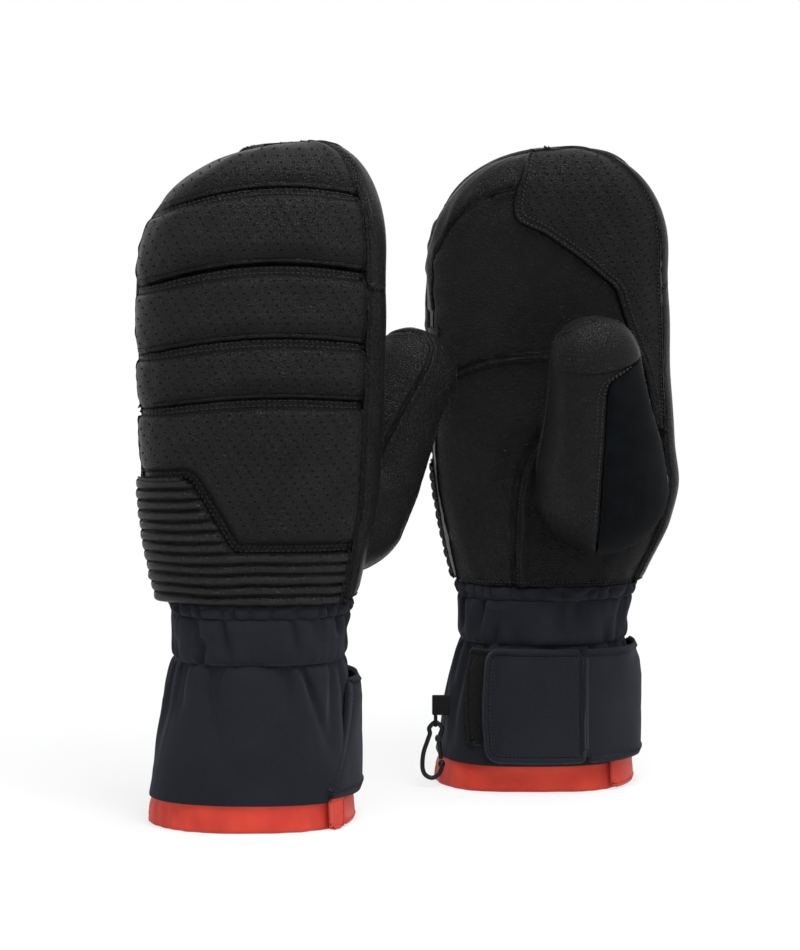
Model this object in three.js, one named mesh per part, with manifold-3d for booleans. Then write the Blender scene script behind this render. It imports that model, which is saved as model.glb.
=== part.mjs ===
// A pair of insulated leather ski mittens, standing upright on the hems of their cuffs.
// The left mitten shows the back of the hand. The right one, behind it, shows its palm and has a
// small carabiner on its cuff. Units are millimetres and +Z is up.
// Each mitten is drawn in a frame of its own: the origin lies under the middle of its hem, +X
// points to the thumb side and +Y to the palm. The right mitten's frame is mirrored in Y.
// The pair's origin is under the middle of its bounding box.
import * as THREE from "three";
import { mergeVertices } from "three/addons/utils/BufferGeometryUtils.js";
import Module from "manifold-3d";

const wasm = await Module();
wasm.setup();

const deg = THREE.MathUtils.degToRad;
const mix = THREE.MathUtils.lerp;

// Where the right mitten stands from the left one
const pairSpacing = 135;
const pairStagger = 95;

// Cuff and wrist
const hemHalfWidth = 47;
const hemHalfDepth = 38;
const cuffRise = { left: 78, right: 71 };
const wristHalfWidth = 40.5;
const wristHalfDepth = 31;
const wristRise = 28;
const wristShift = 4;
const sleevePuff = 2.4;
const gatherDepth = 1.6;
const gatherCount = 14;

// Hand
const handRise = 157;
const domeRise = 53;
const edgeHalfWidth = 43;
const edgeBackDepth = 31;
const edgePalmDepth = 29;
const handHalfWidth = 57;
const handBackDepth = 33;
const handPalmDepth = 23;
const handShift = 5;
const apexShift = { left: 20, right: 0 };
const thumbSideBulge = { left: 0, right: 10 };
const fingerCurl = 18;
const seamArch = 13;
const seamTiltRise = 4;

// Thumb: where its ball lies on the palm, and how it leans when it is folded. The ball of a thumb
// that stands out lies lower and farther out.
const thumbRootInset = { left: 15, right: 26 };
const thumbRootY = 37;
const thumbRootRise = { left: 37, right: 50 };
const thumbRootRadius = 31.5;
const thumbLength = 92;
const thumbTipRise = 26;
const thumbTipHalfWidth = 21.5;
const thumbTipHalfDepth = 16.5;
const thumbLean = deg(24);
const thumbTurn = deg(-4);
const thumbSwingAxis = new THREE.Vector3(0.357, 0.862, -0.359).normalize();
const thumbSplay = { left: deg(34), right: 0 };

// Leather, filling and fabric
const leather = 2;
const padCrown = 4.2;
const ribHeight = 2.4;
const lowerRibs = 5;
const upperRibs = 7;
const liner = 6;
const wristLiner = 3;
const fabric = 1.3;
const elasticThickness = 1.2;
const liningThickness = 2.6;
const overlayThickness = 1.3;
const layerGap = 0.8;
const seamGap = 0.8;
const fabricGap = 0.45;

// Closure strap, its patches, and the flap of the lining below it
const strapBottom = 16;
const strapHeight = 52;
const strapThickness = 1.5;
const strapCorner = 7;
const strapHingeX = 22;
const strapEndX = -22;
const loopPatchBottom = 23;
const loopPatchHeight = 45;
const loopPatchEndX = -32;
const loopPatchStartX = 14;
const patchThickness = 1.1;
const hookPatchWidth = 26;
const hookPatchMargin = 4;
const shellHem = 13;

// Carabiner, and the webbing tab that it hangs from on the right mitten
const tabRise = 34.6;
const tabHeight = 10.5;
const tabWidth = 8.6;
const tabThickness = 2.6;
const tabLoopWidth = 1.8;
const tabLoopWall = 0.8;
const clipWire = 2.2;
const clipReach = 27.4;
const clipHalfWidth = 4.6;
const clipNoseRadius = 1.8;
const clipLugRadius = 1.7;
const clipLugThickness = 1;
const gateForkThickness = 0.6;
const gatePinRadius = 0.6;
const gatePinHeadRadius = 1.1;
const gatePinHead = 0.4;
const clipClearance = 0.35;

// Angles round a section: 0 is the thumb side, 90 the palm, 180 the little finger and 270 the back.
const indexSeam = deg(24);
const pinkySeam = deg(164);
const pinkyBackSeam = deg(184);
const weltSeam = deg(325);
const strapBaseStart = deg(-47);
const strapBaseSlant = deg(33);
const flapHalfAngle = deg(44);
const tabSeam = deg(152);
const thumbBallTurns = [deg(-50), 0];
const thumbTipTurns = [deg(33), deg(64)];

// Heights as shares of a mitten's zones: 0 to 1 is the cuff, 1 to 2 the wrist, 2 to 3 the hand
// and 3 to 4 the dome of the fingertips. Every layer has rows at the levels in levelShares.
const levelShares = [
  0, 0.45, 0.73, 1, 1.2, 1.5, 1.77, 2, 2.2, 2.4, 2.6, 2.8, 3, 3.2, 3.4, 3.6, 3.75, 3.86, 4,
];
const padSeamShares = [2.159, 2.613, 2.788, 3, 3.37];
const ribTopShare = 2.388;
const crossSeamShare = 2.7;
const palmTopShare = 3.4;
const indexSeamTopShare = 2.96;
const capShare = 3.86;
const linerStartShare = 1.03;
const elasticShares = [1.02, 1.77];

// Shares of the way from one named size to another, against the share of the way up
const cuffTaperShares = [[0, 0], [0.45, 0.14], [0.73, 0.48], [1, 1]];
const handWidthShares = [[0, 0], [0.07, 0.2], [0.2, 0.51], [0.35, 0.75], [0.65, 0.93], [0.9, 1]];
const bulgeShares = [[1.5, 0], [2, 0.25], [2.2, 0.95], [2.3, 1], [2.45, 0.65], [2.7, 0.25], [3, 0]];
const backDepthShares = [[0, 0], [0.2, 1], [0.65, 1], [1, 0.86], [2, 0.7]];
const palmDepthShares = [[0, 0], [0.2, 0.8], [0.35, 1], [1, 1], [2, 0.78]];
const puffShares = [[1, 0], [1.2, 0.8], [1.5, 1], [1.77, 0.1], [2, 0]];
const gatherShares = [[1, 0.4], [1.2, 1], [1.5, 0.7], [1.77, 0.8], [2, 0.3]];
const stepXShares = [-0.12, -0.48];

// The palm overlay's outline: shares of the hand's half width, and of its height above the wrist
const overlayShares = [
  [-0.12, 1.02],
  [-0.2, 0.85],
  [0.2, 0.77],
  [0.54, 0.67],
  [0.73, 0.58],
  [0.87, 0.47],
  [0.91, 0.32],
  [1.3, 0.32],
  [1.3, 1.02],
];

// The thumb's wiping patch: shares of its root's radius across, and of its reach along
const wipeShares = [
  [-0.29, -1],
  [-0.16, 0],
  [-0.06, 0.53],
  [0.1, 0.64],
  [0.6, 0.78],
];

// The carabiner's wire from its gate's hinge round the eye, down the spine and up to the nose:
// shares of its half width and of its reach
const clipShares = [
  [0.3, -0.29],
  [0.52, -0.2],
  [0.66, -0.1],
  [0, 0],
  [-0.66, -0.1],
  [-0.6, -0.2],
  [-0.85, -0.33],
  [-1.28, -0.56],
  [-1.38, -0.8],
  [-1.1, -0.94],
  [-0.38, -1],
  [0.3, -0.94],
  [0.62, -0.82],
  [0.62, -0.75],
];

const thumbRowShares = [0.2, 0.4, 0.7, 1];
const thumbWidthShares = [[0, 0], [0.3, 0.22], [0.6, 0.62], [1, 1]];
const thumbFrontShares = [[0, 0], [0.4, 0.4], [0.7, 0.76], [1, 1]];
const thumbBackShares = [[0, 0], [0.2, 0.2], [0.4, 0.93], [0.7, 0.95], [1, 1]];
const skinMouthShare = 0.78;
const linerMouthShare = 0.6;

const sectionPower = 2.5;
const domePower = 2.9;
const thumbTipPower = 2.3;
const ringColumns = 16;
const thumbColumns = 12;
const wireSides = 8;
const angleMargin = deg(2);
const levelMargin = 0.015;
const seamTurn = deg(0.5);

const leatherLook = new THREE.MeshStandardMaterial({ color: 0x1b1b1b, roughness: 0.5 });
const suedeLook = new THREE.MeshStandardMaterial({ color: 0x101316, roughness: 0.95 });
const shellLook = new THREE.MeshStandardMaterial({ color: 0x1e2026, roughness: 0.85 });
const webbingLook = new THREE.MeshStandardMaterial({ color: 0x0e0e0e, roughness: 1 });
const liningLook = new THREE.MeshStandardMaterial({ color: 0xc9362c, roughness: 0.7 });
const linerLook = new THREE.MeshStandardMaterial({ color: 0x2a2a2c, roughness: 1 });
const metalLook = new THREE.MeshStandardMaterial({ color: 0x1a1b1d, roughness: 0.35, metalness: 0.8 });

// Reads a table of [place, share] pairs at a place, in straight lines between its rows.
function readShares(table, place) {
  const next = table.findIndex(([at]) => at >= place);
  if (next < 0) return table.at(-1)[1];
  if (next === 0) return table[0][1];
  const [before, from] = table[next - 1];
  const [after, to] = table[next];
  return mix(from, to, (place - before) / (after - before));
}

const signedPower = (value, power) => Math.sign(value) * Math.abs(value) ** power;
const swell = (share, power) => 1 - Math.abs(2 * THREE.MathUtils.clamp(share, 0, 1) - 1) ** power;

// The size and middle of a mitten's section at a level
function section(mitten, level) {
  if (level <= 1) {
    const taper = readShares(cuffTaperShares, level);
    const depth = mix(hemHalfDepth, wristHalfDepth, taper);
    return {
      z: mitten.cuffRise * level,
      x: wristShift * taper,
      y: 0,
      halfWidth: mix(hemHalfWidth, wristHalfWidth, taper),
      back: depth,
      palm: depth,
      climb: 0,
      open: 1,
      end: 0,
    };
  }
  if (level <= 2) {
    const up = level - 1;
    return {
      z: mitten.cuffRise + wristRise * up,
      x: mix(wristShift, handShift, up),
      y: 0,
      halfWidth: mix(wristHalfWidth, edgeHalfWidth, up * up),
      back: mix(wristHalfDepth, edgeBackDepth, up * up),
      palm: mix(wristHalfDepth, edgePalmDepth, up * up),
      climb: 0,
      open: 1,
      end: 0,
    };
  }
  const up = level - 2;
  const turn = (Math.PI / 2) * Math.max(0, up - 1);
  const open = signedPower(Math.cos(turn), 2 / domePower);
  const end = signedPower(Math.sin(turn), 2 / domePower);
  const rise = handRise * Math.min(up, 1) + domeRise * end;
  const climb = rise / (handRise + domeRise);
  return {
    z: mitten.cuffRise + wristRise + rise,
    x: handShift + mitten.apexShift * (1 - open),
    y: fingerCurl * climb * climb,
    halfWidth: open * mix(edgeHalfWidth, handHalfWidth, readShares(handWidthShares, up)),
    back: open * mix(edgeBackDepth, handBackDepth, readShares(backDepthShares, up)),
    palm: open * mix(edgePalmDepth, handPalmDepth, readShares(palmDepthShares, up)),
    climb,
    open,
    end,
  };
}

// A section's half width on either side of its middle. The root of a folded thumb bulges on its side.
function halfWidthOn(mitten, level, { onThumbSide }) {
  const bulge = onThumbSide ? mitten.thumbSideBulge * readShares(bulgeShares, level) : 0;
  return section(mitten, level).halfWidth + bulge;
}

// A point at a level and angle, at an offset outside the mitten's outer surface
function surfacePoint(mitten, level, angle, offset) {
  const at = section(mitten, level);
  const depth = Math.sin(angle) >= 0 ? at.palm : at.back;
  const halfWidth = halfWidthOn(mitten, level, { onThumbSide: Math.cos(angle) > 0 });
  const across = (halfWidth + offset * at.open) * signedPower(Math.cos(angle), 2 / sectionPower);
  const through = (depth + offset * at.open) * signedPower(Math.sin(angle), 2 / sectionPower);
  const side = across / handHalfWidth;
  const lift = at.climb * (seamTiltRise * side - seamArch * side * side);
  return [at.x + across, at.y + through, at.z + offset * at.end + lift];
}

// The angle at which a section reaches x, on the palm side or on the back
function angleAtX(mitten, level, x, { onBack = false } = {}) {
  const at = section(mitten, level);
  const halfWidth = halfWidthOn(mitten, level, { onThumbSide: x > at.x });
  const share = THREE.MathUtils.clamp((x - at.x) / halfWidth, -1, 1);
  const angle = Math.acos(signedPower(share, sectionPower / 2));
  return onBack ? 2 * Math.PI - angle : angle;
}

const levelAt = (mitten, z) => z / mitten.cuffRise;

// A level just above or below a seam
const above = (level) => level + seamGap / 2 / (level < 3 ? handRise : domeRise);
const below = (level) => level - seamGap / 2 / (level <= 3 ? handRise : domeRise);

// The rows between two levels that every layer shares, with rows of its own at both ends
function rowsBetween(low, high) {
  const shared = levelShares.filter((level) => level > low + levelMargin && level < high - levelMargin);
  return [low, ...shared, high];
}

// The columns between two angles that every layer shares, with columns of its own at both ends
function columnsBetween(from, to) {
  const pitch = (2 * Math.PI) / ringColumns;
  const first = Math.ceil((from + angleMargin) / pitch);
  const last = Math.floor((to - angleMargin) / pitch);
  const shared = Array.from({ length: last - first + 1 }, (_, column) => (first + column) * pitch);
  return [from, ...shared, to];
}

function solidFrom(geometry, matrix = new THREE.Matrix4()) {
  const bare = geometry.clone().applyMatrix4(matrix);
  bare.deleteAttribute("normal");
  bare.deleteAttribute("uv");
  const merged = mergeVertices(bare);
  const vertProperties = merged.attributes.position.array;
  const triVerts = new Uint32Array(merged.index.array);
  return new wasm.Manifold(new wasm.Mesh({ numProp: 3, vertProperties, triVerts }));
}

function geometryFrom(solid) {
  const { vertProperties, triVerts } = solid.getMesh();
  const geometry = new THREE.BufferGeometry();
  geometry.setAttribute("position", new THREE.BufferAttribute(vertProperties, 3));
  geometry.setIndex(new THREE.BufferAttribute(triVerts, 1));
  geometry.computeVertexNormals();
  return geometry;
}

// A sheet with thickness between two grids of points. A ring joins its last column to its first.
// An end that comes to a point gives that point on each face; any other end is an edge.
function sheetSolid(outer, inner, { ring = false, top = null, bottom = null } = {}) {
  const rows = outer.length;
  const columns = outer[0].length;
  const steps = ring ? columns : columns - 1;
  const points = [...outer.flat(), ...inner.flat()];
  const over = (row, column) => row * columns + (column % columns);
  const under = (row, column) => rows * columns + over(row, column);
  const faces = [];
  const quad = (a, b, c, d) => faces.push([a, b, c], [a, c, d]);
  for (let row = 0; row < rows - 1; row++)
    for (let column = 0; column < steps; column++) {
      const [right, up] = [column + 1, row + 1];
      quad(over(row, column), over(row, right), over(up, right), over(up, column));
      quad(under(row, column), under(up, column), under(up, right), under(row, right));
    }
  const closeEnd = (row, tip, upward) => {
    const triangle = (a, b, c) => faces.push(upward ? [a, b, c] : [a, c, b]);
    const tips = tip ? [points.push(tip.outer) - 1, points.push(tip.inner) - 1] : [];
    for (let column = 0; column < steps; column++) {
      if (tip) {
        triangle(over(row, column), over(row, column + 1), tips[0]);
        triangle(under(row, column + 1), under(row, column), tips[1]);
      } else {
        triangle(over(row, column), over(row, column + 1), under(row, column + 1));
        triangle(over(row, column), under(row, column + 1), under(row, column));
      }
    }
  };
  closeEnd(rows - 1, top, true);
  closeEnd(0, bottom, false);
  const last = columns - 1;
  for (let row = 0; row < rows - 1 && !ring; row++) {
    quad(under(row, 0), over(row, 0), over(row + 1, 0), under(row + 1, 0));
    quad(over(row, last), under(row, last), under(row + 1, last), over(row + 1, last));
  }
  const vertProperties = new Float32Array(points.flat());
  const triVerts = new Uint32Array(faces.flat());
  return new wasm.Manifold(new wasm.Mesh({ numProp: 3, vertProperties, triVerts }));
}

const valueOf = (size, ...where) => (typeof size === "function" ? size(...where) : size);

// A sheet that follows the mitten over some levels and between two angles. With a column count,
// its edges may move from row to row.
function panel(mitten, { rows, from, to, columns, outer, inner }) {
  const shared = columns ? null : columnsBetween(from, to);
  const anglesAt = (level) => {
    if (shared) return shared;
    const edges = [valueOf(from, level), valueOf(to, level)];
    return Array.from({ length: columns + 1 }, (_, column) => mix(...edges, column / columns));
  };
  const grid = (offset) =>
    rows.map((level) => {
      const angles = anglesAt(level);
      const across = (angle) => (angle - angles[0]) / (angles.at(-1) - angles[0]);
      return angles.map((angle) => surfacePoint(mitten, level, angle, valueOf(offset, level, across(angle))));
    });
  return sheetSolid(grid(outer), grid(inner));
}

// A sheet that goes all round the mitten. Rows that reach level 4 close it over the fingertips.
function sleeve(mitten, { rows, columns = ringColumns, outer, inner }) {
  const domed = rows.at(-1) === 4;
  const open = domed ? rows.slice(0, -1) : rows;
  const grid = (offset) =>
    open.map((level) =>
      Array.from({ length: columns }, (_, column) => {
        const angle = (2 * Math.PI * column) / columns;
        return surfacePoint(mitten, level, angle, valueOf(offset, level, column));
      }),
    );
  const tip = (offset) => surfacePoint(mitten, 4, 0, valueOf(offset, 4, 0));
  const top = domed ? { outer: tip(outer), inner: tip(inner) } : null;
  return sheetSolid(grid(outer), grid(inner), { ring: true, top });
}

// A prism through an outline of [x, z] points, from one y to another
function prismAlongY(outline, low, high) {
  const shape = new THREE.Shape(outline.map(([x, z]) => new THREE.Vector2(x, z)));
  const geometry = new THREE.ExtrudeGeometry(shape, { depth: high - low, bevelEnabled: false });
  return solidFrom(geometry, new THREE.Matrix4().makeRotationX(Math.PI / 2).setPosition(0, high, 0));
}

const thumbRoot = (mitten) =>
  new THREE.Vector3(
    handHalfWidth - mitten.thumbRootInset,
    thumbRootY,
    mitten.cuffRise + wristRise + mitten.thumbRootRise,
  );
const thumbFolded = new THREE.Quaternion().setFromEuler(new THREE.Euler(-thumbLean, thumbTurn, 0, "YXZ"));

function thumbSocket(mitten) {
  const ball = new THREE.SphereGeometry(thumbRootRadius + layerGap, 1.5 * ringColumns, ringColumns);
  return solidFrom(ball, new THREE.Matrix4().setPosition(thumbRoot(mitten)));
}

// A padded panel on the back of a finger zone, raised between its seams
function backPad(mitten, index) {
  const low = above(padSeamShares[index]);
  const high = below(padSeamShares[index + 1]);
  const crown = (level, across) => padCrown * swell((level - low) / (high - low), 4) * swell(across, 6);
  return panel(mitten, {
    rows: rowsBetween(low, high),
    from: pinkyBackSeam + seamTurn,
    to: weltSeam - seamTurn,
    outer: crown,
    inner: -leather,
  });
}

// The fingertips' padded panel runs into a cap that closes the dome.
function fingertipPad(mitten) {
  const low = above(padSeamShares.at(-1));
  const crown = (level, across) => padCrown * swell((level - low) / (capShare - low), 4) * swell(across, 6);
  const pad = panel(mitten, {
    rows: rowsBetween(low, capShare + levelMargin),
    from: pinkyBackSeam + seamTurn,
    to: weltSeam - seamTurn,
    outer: crown,
    inner: -leather,
  });
  const cap = sleeve(mitten, { rows: [capShare, (capShare + 4) / 2, 4], outer: 0, inner: -leather });
  return pad.add(cap);
}

// The ribbed panel steps up beside the lowest pad. Their seam moves across as it climbs.
function stepX(level) {
  const climbed = (level - padSeamShares[0]) / (ribTopShare - padSeamShares[0]);
  return handHalfWidth * mix(...stepXShares, THREE.MathUtils.clamp(climbed, 0, 1));
}

function handPad(mitten) {
  const low = above(padSeamShares[0]);
  const high = below(padSeamShares[1]);
  const crown = (level, across) => padCrown * swell((level - low) / (high - low), 6) * swell(across, 6);
  const shape = { to: weltSeam - seamTurn, outer: crown, inner: -leather };
  const beside = panel(mitten, {
    ...shape,
    rows: rowsBetween(low, above(ribTopShare) + levelMargin),
    from: (level) => angleAtX(mitten, level, stepX(level) + seamGap, { onBack: true }),
    columns: 6,
  });
  const over = panel(mitten, {
    ...shape,
    rows: rowsBetween(above(ribTopShare), high),
    from: pinkyBackSeam + seamTurn,
  });
  return beside.add(over);
}

function ribPanel(mitten) {
  const ribs = (low, high, count) => {
    const pitch = (high - low) / count / 2;
    const rows = Array.from({ length: 2 * count + 1 }, (_, row) => low + pitch * row);
    return { rows, outer: (level) => ribHeight * (Math.round((level - low) / pitch) % 2) };
  };
  const from = pinkyBackSeam + seamTurn;
  const seam = below(padSeamShares[0]);
  const across = panel(mitten, {
    ...ribs(2, seam, lowerRibs),
    from,
    to: weltSeam - seamTurn,
    columns: 6,
    inner: -leather,
  });
  const beside = panel(mitten, {
    ...ribs(seam - levelMargin, below(ribTopShare), upperRibs),
    from,
    to: (level) => angleAtX(mitten, level, stepX(level), { onBack: true }),
    columns: 4,
    inner: -leather,
  });
  return across.add(beside);
}

// Smooth leather down the index finger, down the little finger and over the fingertips
function gussets(mitten) {
  const indexSpan = { from: weltSeam - 2 * Math.PI + seamTurn, to: indexSeam - seamTurn };
  const pinkySpan = { from: pinkySeam + seamTurn, to: pinkyBackSeam - seamTurn };
  const skin = { outer: 0, inner: -leather };
  const index = panel(mitten, { rows: rowsBetween(2, below(indexSeamTopShare)), ...indexSpan, ...skin });
  const pinky = panel(mitten, { rows: rowsBetween(2, below(palmTopShare)), ...pinkySpan, ...skin });
  const side = panel(mitten, {
    rows: rowsBetween(above(indexSeamTopShare), above(palmTopShare) + levelMargin),
    ...indexSpan,
    ...skin,
  });
  const top = panel(mitten, {
    rows: rowsBetween(above(palmTopShare), below(capShare)),
    from: indexSpan.from,
    to: pinkySpan.to,
    ...skin,
  });
  return { index, pinky, fingertipBand: side.add(top) };
}

function palmPanel(mitten, low, high) {
  const from = indexSeam + seamTurn;
  const to = pinkySeam - seamTurn;
  return panel(mitten, { rows: rowsBetween(low, high), from, to, outer: 0, inner: -leather });
}

// A reinforcing layer on the palm, cut to its outline
function palmOverlay(mitten) {
  const wristTop = mitten.cuffRise + wristRise;
  const outline = overlayShares.map(([acrossShare, riseShare]) => [
    handHalfWidth * acrossShare,
    wristTop + (handRise + domeRise) * riseShare,
  ]);
  const sheet = panel(mitten, {
    rows: rowsBetween(2.35, 3.62),
    from: indexSeam / 2,
    to: pinkySeam,
    outer: layerGap + overlayThickness,
    inner: layerGap,
  });
  return sheet.intersect(prismAlongY(outline, 0, handHalfWidth));
}

function handLiner(mitten) {
  const wristFace = -elasticThickness - fabric - 2 * fabricGap;
  const handFace = -leather - layerGap;
  return sleeve(mitten, {
    rows: rowsBetween(linerStartShare, 4),
    outer: (level) => (level < 2 ? wristFace : handFace),
    inner: (level) => (level < 2 ? wristFace - wristLiner : handFace - liner),
  });
}

// A closed skin of the thumb between two offsets: a ball at its root, a taper and a round tip
function thumbSkin(outer, inner) {
  const tipStart = thumbLength - thumbTipRise;
  const rings = (offset) => {
    const radius = thumbRootRadius + offset;
    const ball = thumbBallTurns.map((turn) => ({
      along: radius * Math.sin(turn),
      width: radius * Math.cos(turn),
      front: radius * Math.cos(turn),
      back: radius * Math.cos(turn),
    }));
    const taper = thumbRowShares.map((share) => ({
      along: tipStart * share,
      width: offset + mix(thumbRootRadius, thumbTipHalfWidth, readShares(thumbWidthShares, share)),
      front: offset + mix(thumbRootRadius, thumbTipHalfDepth, readShares(thumbFrontShares, share)),
      back: offset + mix(thumbRootRadius, thumbTipHalfDepth, readShares(thumbBackShares, share)),
    }));
    const tip = thumbTipTurns.map((turn) => ({
      along: tipStart + (thumbTipRise + offset) * signedPower(Math.sin(turn), 2 / thumbTipPower),
      width: (thumbTipHalfWidth + offset) * signedPower(Math.cos(turn), 2 / thumbTipPower),
      front: (thumbTipHalfDepth + offset) * signedPower(Math.cos(turn), 2 / thumbTipPower),
      back: (thumbTipHalfDepth + offset) * signedPower(Math.cos(turn), 2 / thumbTipPower),
    }));
    return [...ball, ...taper, ...tip];
  };
  const grid = (offset) =>
    rings(offset).map(({ along, width, front, back }) =>
      Array.from({ length: thumbColumns }, (_, column) => {
        const angle = (2 * Math.PI * column) / thumbColumns;
        const depth = Math.sin(angle) > 0 ? front : back;
        return [width * Math.cos(angle), depth * Math.sin(angle), along];
      }),
    );
  const tip = (offset) => [0, 0, thumbLength + offset];
  const root = (offset) => [0, 0, -thumbRootRadius - offset];
  return sheetSolid(grid(outer), grid(inner), {
    ring: true,
    top: { outer: tip(outer), inner: tip(inner) },
    bottom: { outer: root(outer), inner: root(inner) },
  });
}

function thumbPieces() {
  const far = thumbLength + thumbRootRadius;
  const innerFace = -leather - layerGap;
  const mouth = (radius) => {
    const geometry = new THREE.CylinderGeometry(radius, radius, far, ringColumns).translate(0, -far / 2, 0);
    return solidFrom(geometry, new THREE.Matrix4().makeRotationFromQuaternion(thumbFolded.clone().invert()));
  };
  const halfSpace = (low, high) => prismAlongY([[-far, -far], [far, -far], [far, far], [-far, far]], low, high);
  const wipeCutter = (grow) => {
    const edge = wipeShares.map(([acrossShare, alongShare]) => [
      thumbRootRadius * acrossShare - grow,
      thumbLength * alongShare + grow,
    ]);
    const top = edge.at(-1)[1];
    return prismAlongY([...edge, [far, top], [far, edge[0][1]]], 0, far);
  };
  const skin = thumbSkin(0, -leather).subtract(mouth(thumbRootRadius * skinMouthShare));
  const frontHalf = skin.intersect(halfSpace(seamGap / 2, far));
  return {
    back: skin.intersect(halfSpace(-far, -seamGap / 2)),
    front: frontHalf.subtract(wipeCutter(seamGap)),
    wipe: frontHalf.intersect(wipeCutter(0)),
    liner: thumbSkin(innerFace, innerFace - liner).subtract(mouth(thumbRootRadius * linerMouthShare)),
  };
}

// Fabric that two lines of elastic gather in round the wrist
function wristSleeve(mitten) {
  const lift = (level) => sleevePuff * readShares(puffShares, level);
  const gather = (level, column) => (column % 2) * gatherDepth * readShares(gatherShares, level);
  const offset = (level, column) => lift(level) + gather(level, column);
  const gap = fabricGap / wristRise;
  return sleeve(mitten, {
    rows: rowsBetween(1 + gap / 2, 2 - gap),
    columns: 2 * gatherCount,
    outer: offset,
    inner: (level, column) => offset(level, column) - fabric,
  });
}

function wristElastic(mitten) {
  const outer = -fabric - fabricGap;
  return sleeve(mitten, { rows: rowsBetween(...elasticShares), outer, inner: outer - elasticThickness });
}

function cuffShell(mitten) {
  const rows = rowsBetween(levelAt(mitten, shellHem), 1 - levelAt(mitten, fabricGap / 2));
  return sleeve(mitten, { rows, outer: 0, inner: -fabric });
}

function cuffLining(mitten) {
  const outer = -fabric - fabricGap;
  return sleeve(mitten, { rows: rowsBetween(0, 1), outer, inner: outer - liningThickness });
}

// The strap lies over two patches on the palm side, so it stands off the shell by their thickness.
const loopFace = fabricGap;
const hookFace = loopFace + patchThickness + fabricGap;
const strapFace = hookFace + patchThickness + fabricGap;

// The strap's sewn base wraps the thumb side, from a slanting seam on the back to the strap's hinge.
function strapBase(mitten) {
  const low = levelAt(mitten, strapBottom);
  const high = levelAt(mitten, strapBottom + strapHeight);
  const face = (across) => mix(loopFace, strapFace, across);
  return panel(mitten, {
    rows: rowsBetween(low, high),
    from: (level) => strapBaseStart + (strapBaseSlant * (level - low)) / (high - low),
    to: (level) => angleAtX(mitten, level, strapHingeX + fabricGap / 2),
    columns: 16,
    outer: (_, across) => face(across) + strapThickness,
    inner: (_, across) => face(across),
  });
}

// A rectangle of [x, z] points, with rounded corners at its free end
function tabOutline(endX, startX, bottom, top, corner) {
  const arc = (z, from) =>
    [0, 30, 60, 90].map((step) => [
      endX + corner + corner * Math.cos(deg(from + step)),
      z + corner * Math.sin(deg(from + step)),
    ]);
  return [[startX, bottom], [startX, top], ...arc(top - corner, 90), ...arc(bottom + corner, 180)];
}

// A flat piece on the palm side of the cuff, cut to an outline
function cuffPatch(mitten, outline, face, thickness) {
  const xs = outline.map(([x]) => x);
  const zs = outline.map(([, z]) => z);
  const low = levelAt(mitten, Math.min(...zs) - patchThickness);
  const high = levelAt(mitten, Math.max(...zs) + patchThickness);
  const sheet = panel(mitten, {
    rows: rowsBetween(Math.max(0, low), high),
    from: (level) => angleAtX(mitten, level, Math.max(...xs) + patchThickness),
    to: (level) => angleAtX(mitten, level, Math.min(...xs) - patchThickness),
    columns: 8,
    outer: face + thickness,
    inner: face,
  });
  return sheet.intersect(prismAlongY(outline, 0, 2 * hemHalfDepth));
}

function closure(mitten) {
  const strapTop = strapBottom + strapHeight;
  const tab = tabOutline(strapEndX, strapHingeX - fabricGap / 2, strapBottom, strapTop, strapCorner);
  const hookLeft = strapEndX + hookPatchMargin;
  const hookBottom = strapBottom + hookPatchMargin;
  const hookTop = strapTop - hookPatchMargin;
  const hookCorner = strapCorner - hookPatchMargin;
  const hook = tabOutline(hookLeft, hookLeft + hookPatchWidth, hookBottom, hookTop, hookCorner);
  const loopTop = loopPatchBottom + loopPatchHeight;
  const loop = tabOutline(loopPatchEndX, loopPatchStartX, loopPatchBottom, loopTop, patchThickness);
  return {
    tab: cuffPatch(mitten, tab, strapFace, strapThickness),
    hook: cuffPatch(mitten, hook, hookFace, patchThickness),
    loop: cuffPatch(mitten, loop, loopFace, patchThickness),
  };
}

// The lining shows as a folded flap in the cuff's slit, under the strap's base.
function liningFlap(mitten) {
  return panel(mitten, {
    rows: rowsBetween(0, levelAt(mitten, strapBottom - fabricGap)),
    from: -flapHalfAngle,
    to: flapHalfAngle,
    outer: fabricGap + fabric,
    inner: fabricGap,
  });
}

function cylinderAlong(axis, radius, length) {
  const geometry = new THREE.CylinderGeometry(radius, radius, length, wireSides);
  return axis === "x" ? geometry.rotateZ(Math.PI / 2) : geometry;
}

// The webbing tab is sewn into the little finger side of the cuff, and its lower end is a loop.
function clipTab(mitten) {
  const [surfaceX, surfaceY] = surfacePoint(mitten, levelAt(mitten, tabRise), tabSeam, 0);
  const x = surfaceX - fabricGap - tabWidth / 2;
  const y = surfaceY + tabThickness / 2;
  const holeRadius = clipWire / 2 + 3 * clipClearance;
  const holeX = x - tabWidth / 2 + tabLoopWidth;
  const hole = new THREE.Vector3(holeX, y, tabRise - holeRadius);
  const block = new THREE.BoxGeometry(tabWidth, tabThickness, tabHeight);
  const turned = (radius, length) => solidFrom(cylinderAlong("x", radius, length).translate(...hole));
  const solid = solidFrom(block.translate(x, y, tabRise + tabHeight / 2))
    .add(turned(holeRadius + tabLoopWall, tabLoopWidth))
    .subtract(turned(holeRadius, 2 * tabWidth));
  return { solid, hang: hole.setZ(hole.z - clipClearance) };
}

// A round wire through [x, z] points
function wireThrough(points) {
  const path = new THREE.CatmullRomCurve3(points.map(([x, z]) => new THREE.Vector3(x, 0, z)));
  const round = new THREE.Shape().absarc(0, 0, clipWire / 2, 0, 2 * Math.PI);
  const steps = points.length > 2 ? 2 * points.length : 1;
  const settings = { steps, curveSegments: wireSides / 2, extrudePath: path, bevelEnabled: false };
  return solidFrom(new THREE.ExtrudeGeometry(round, settings));
}

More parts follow.
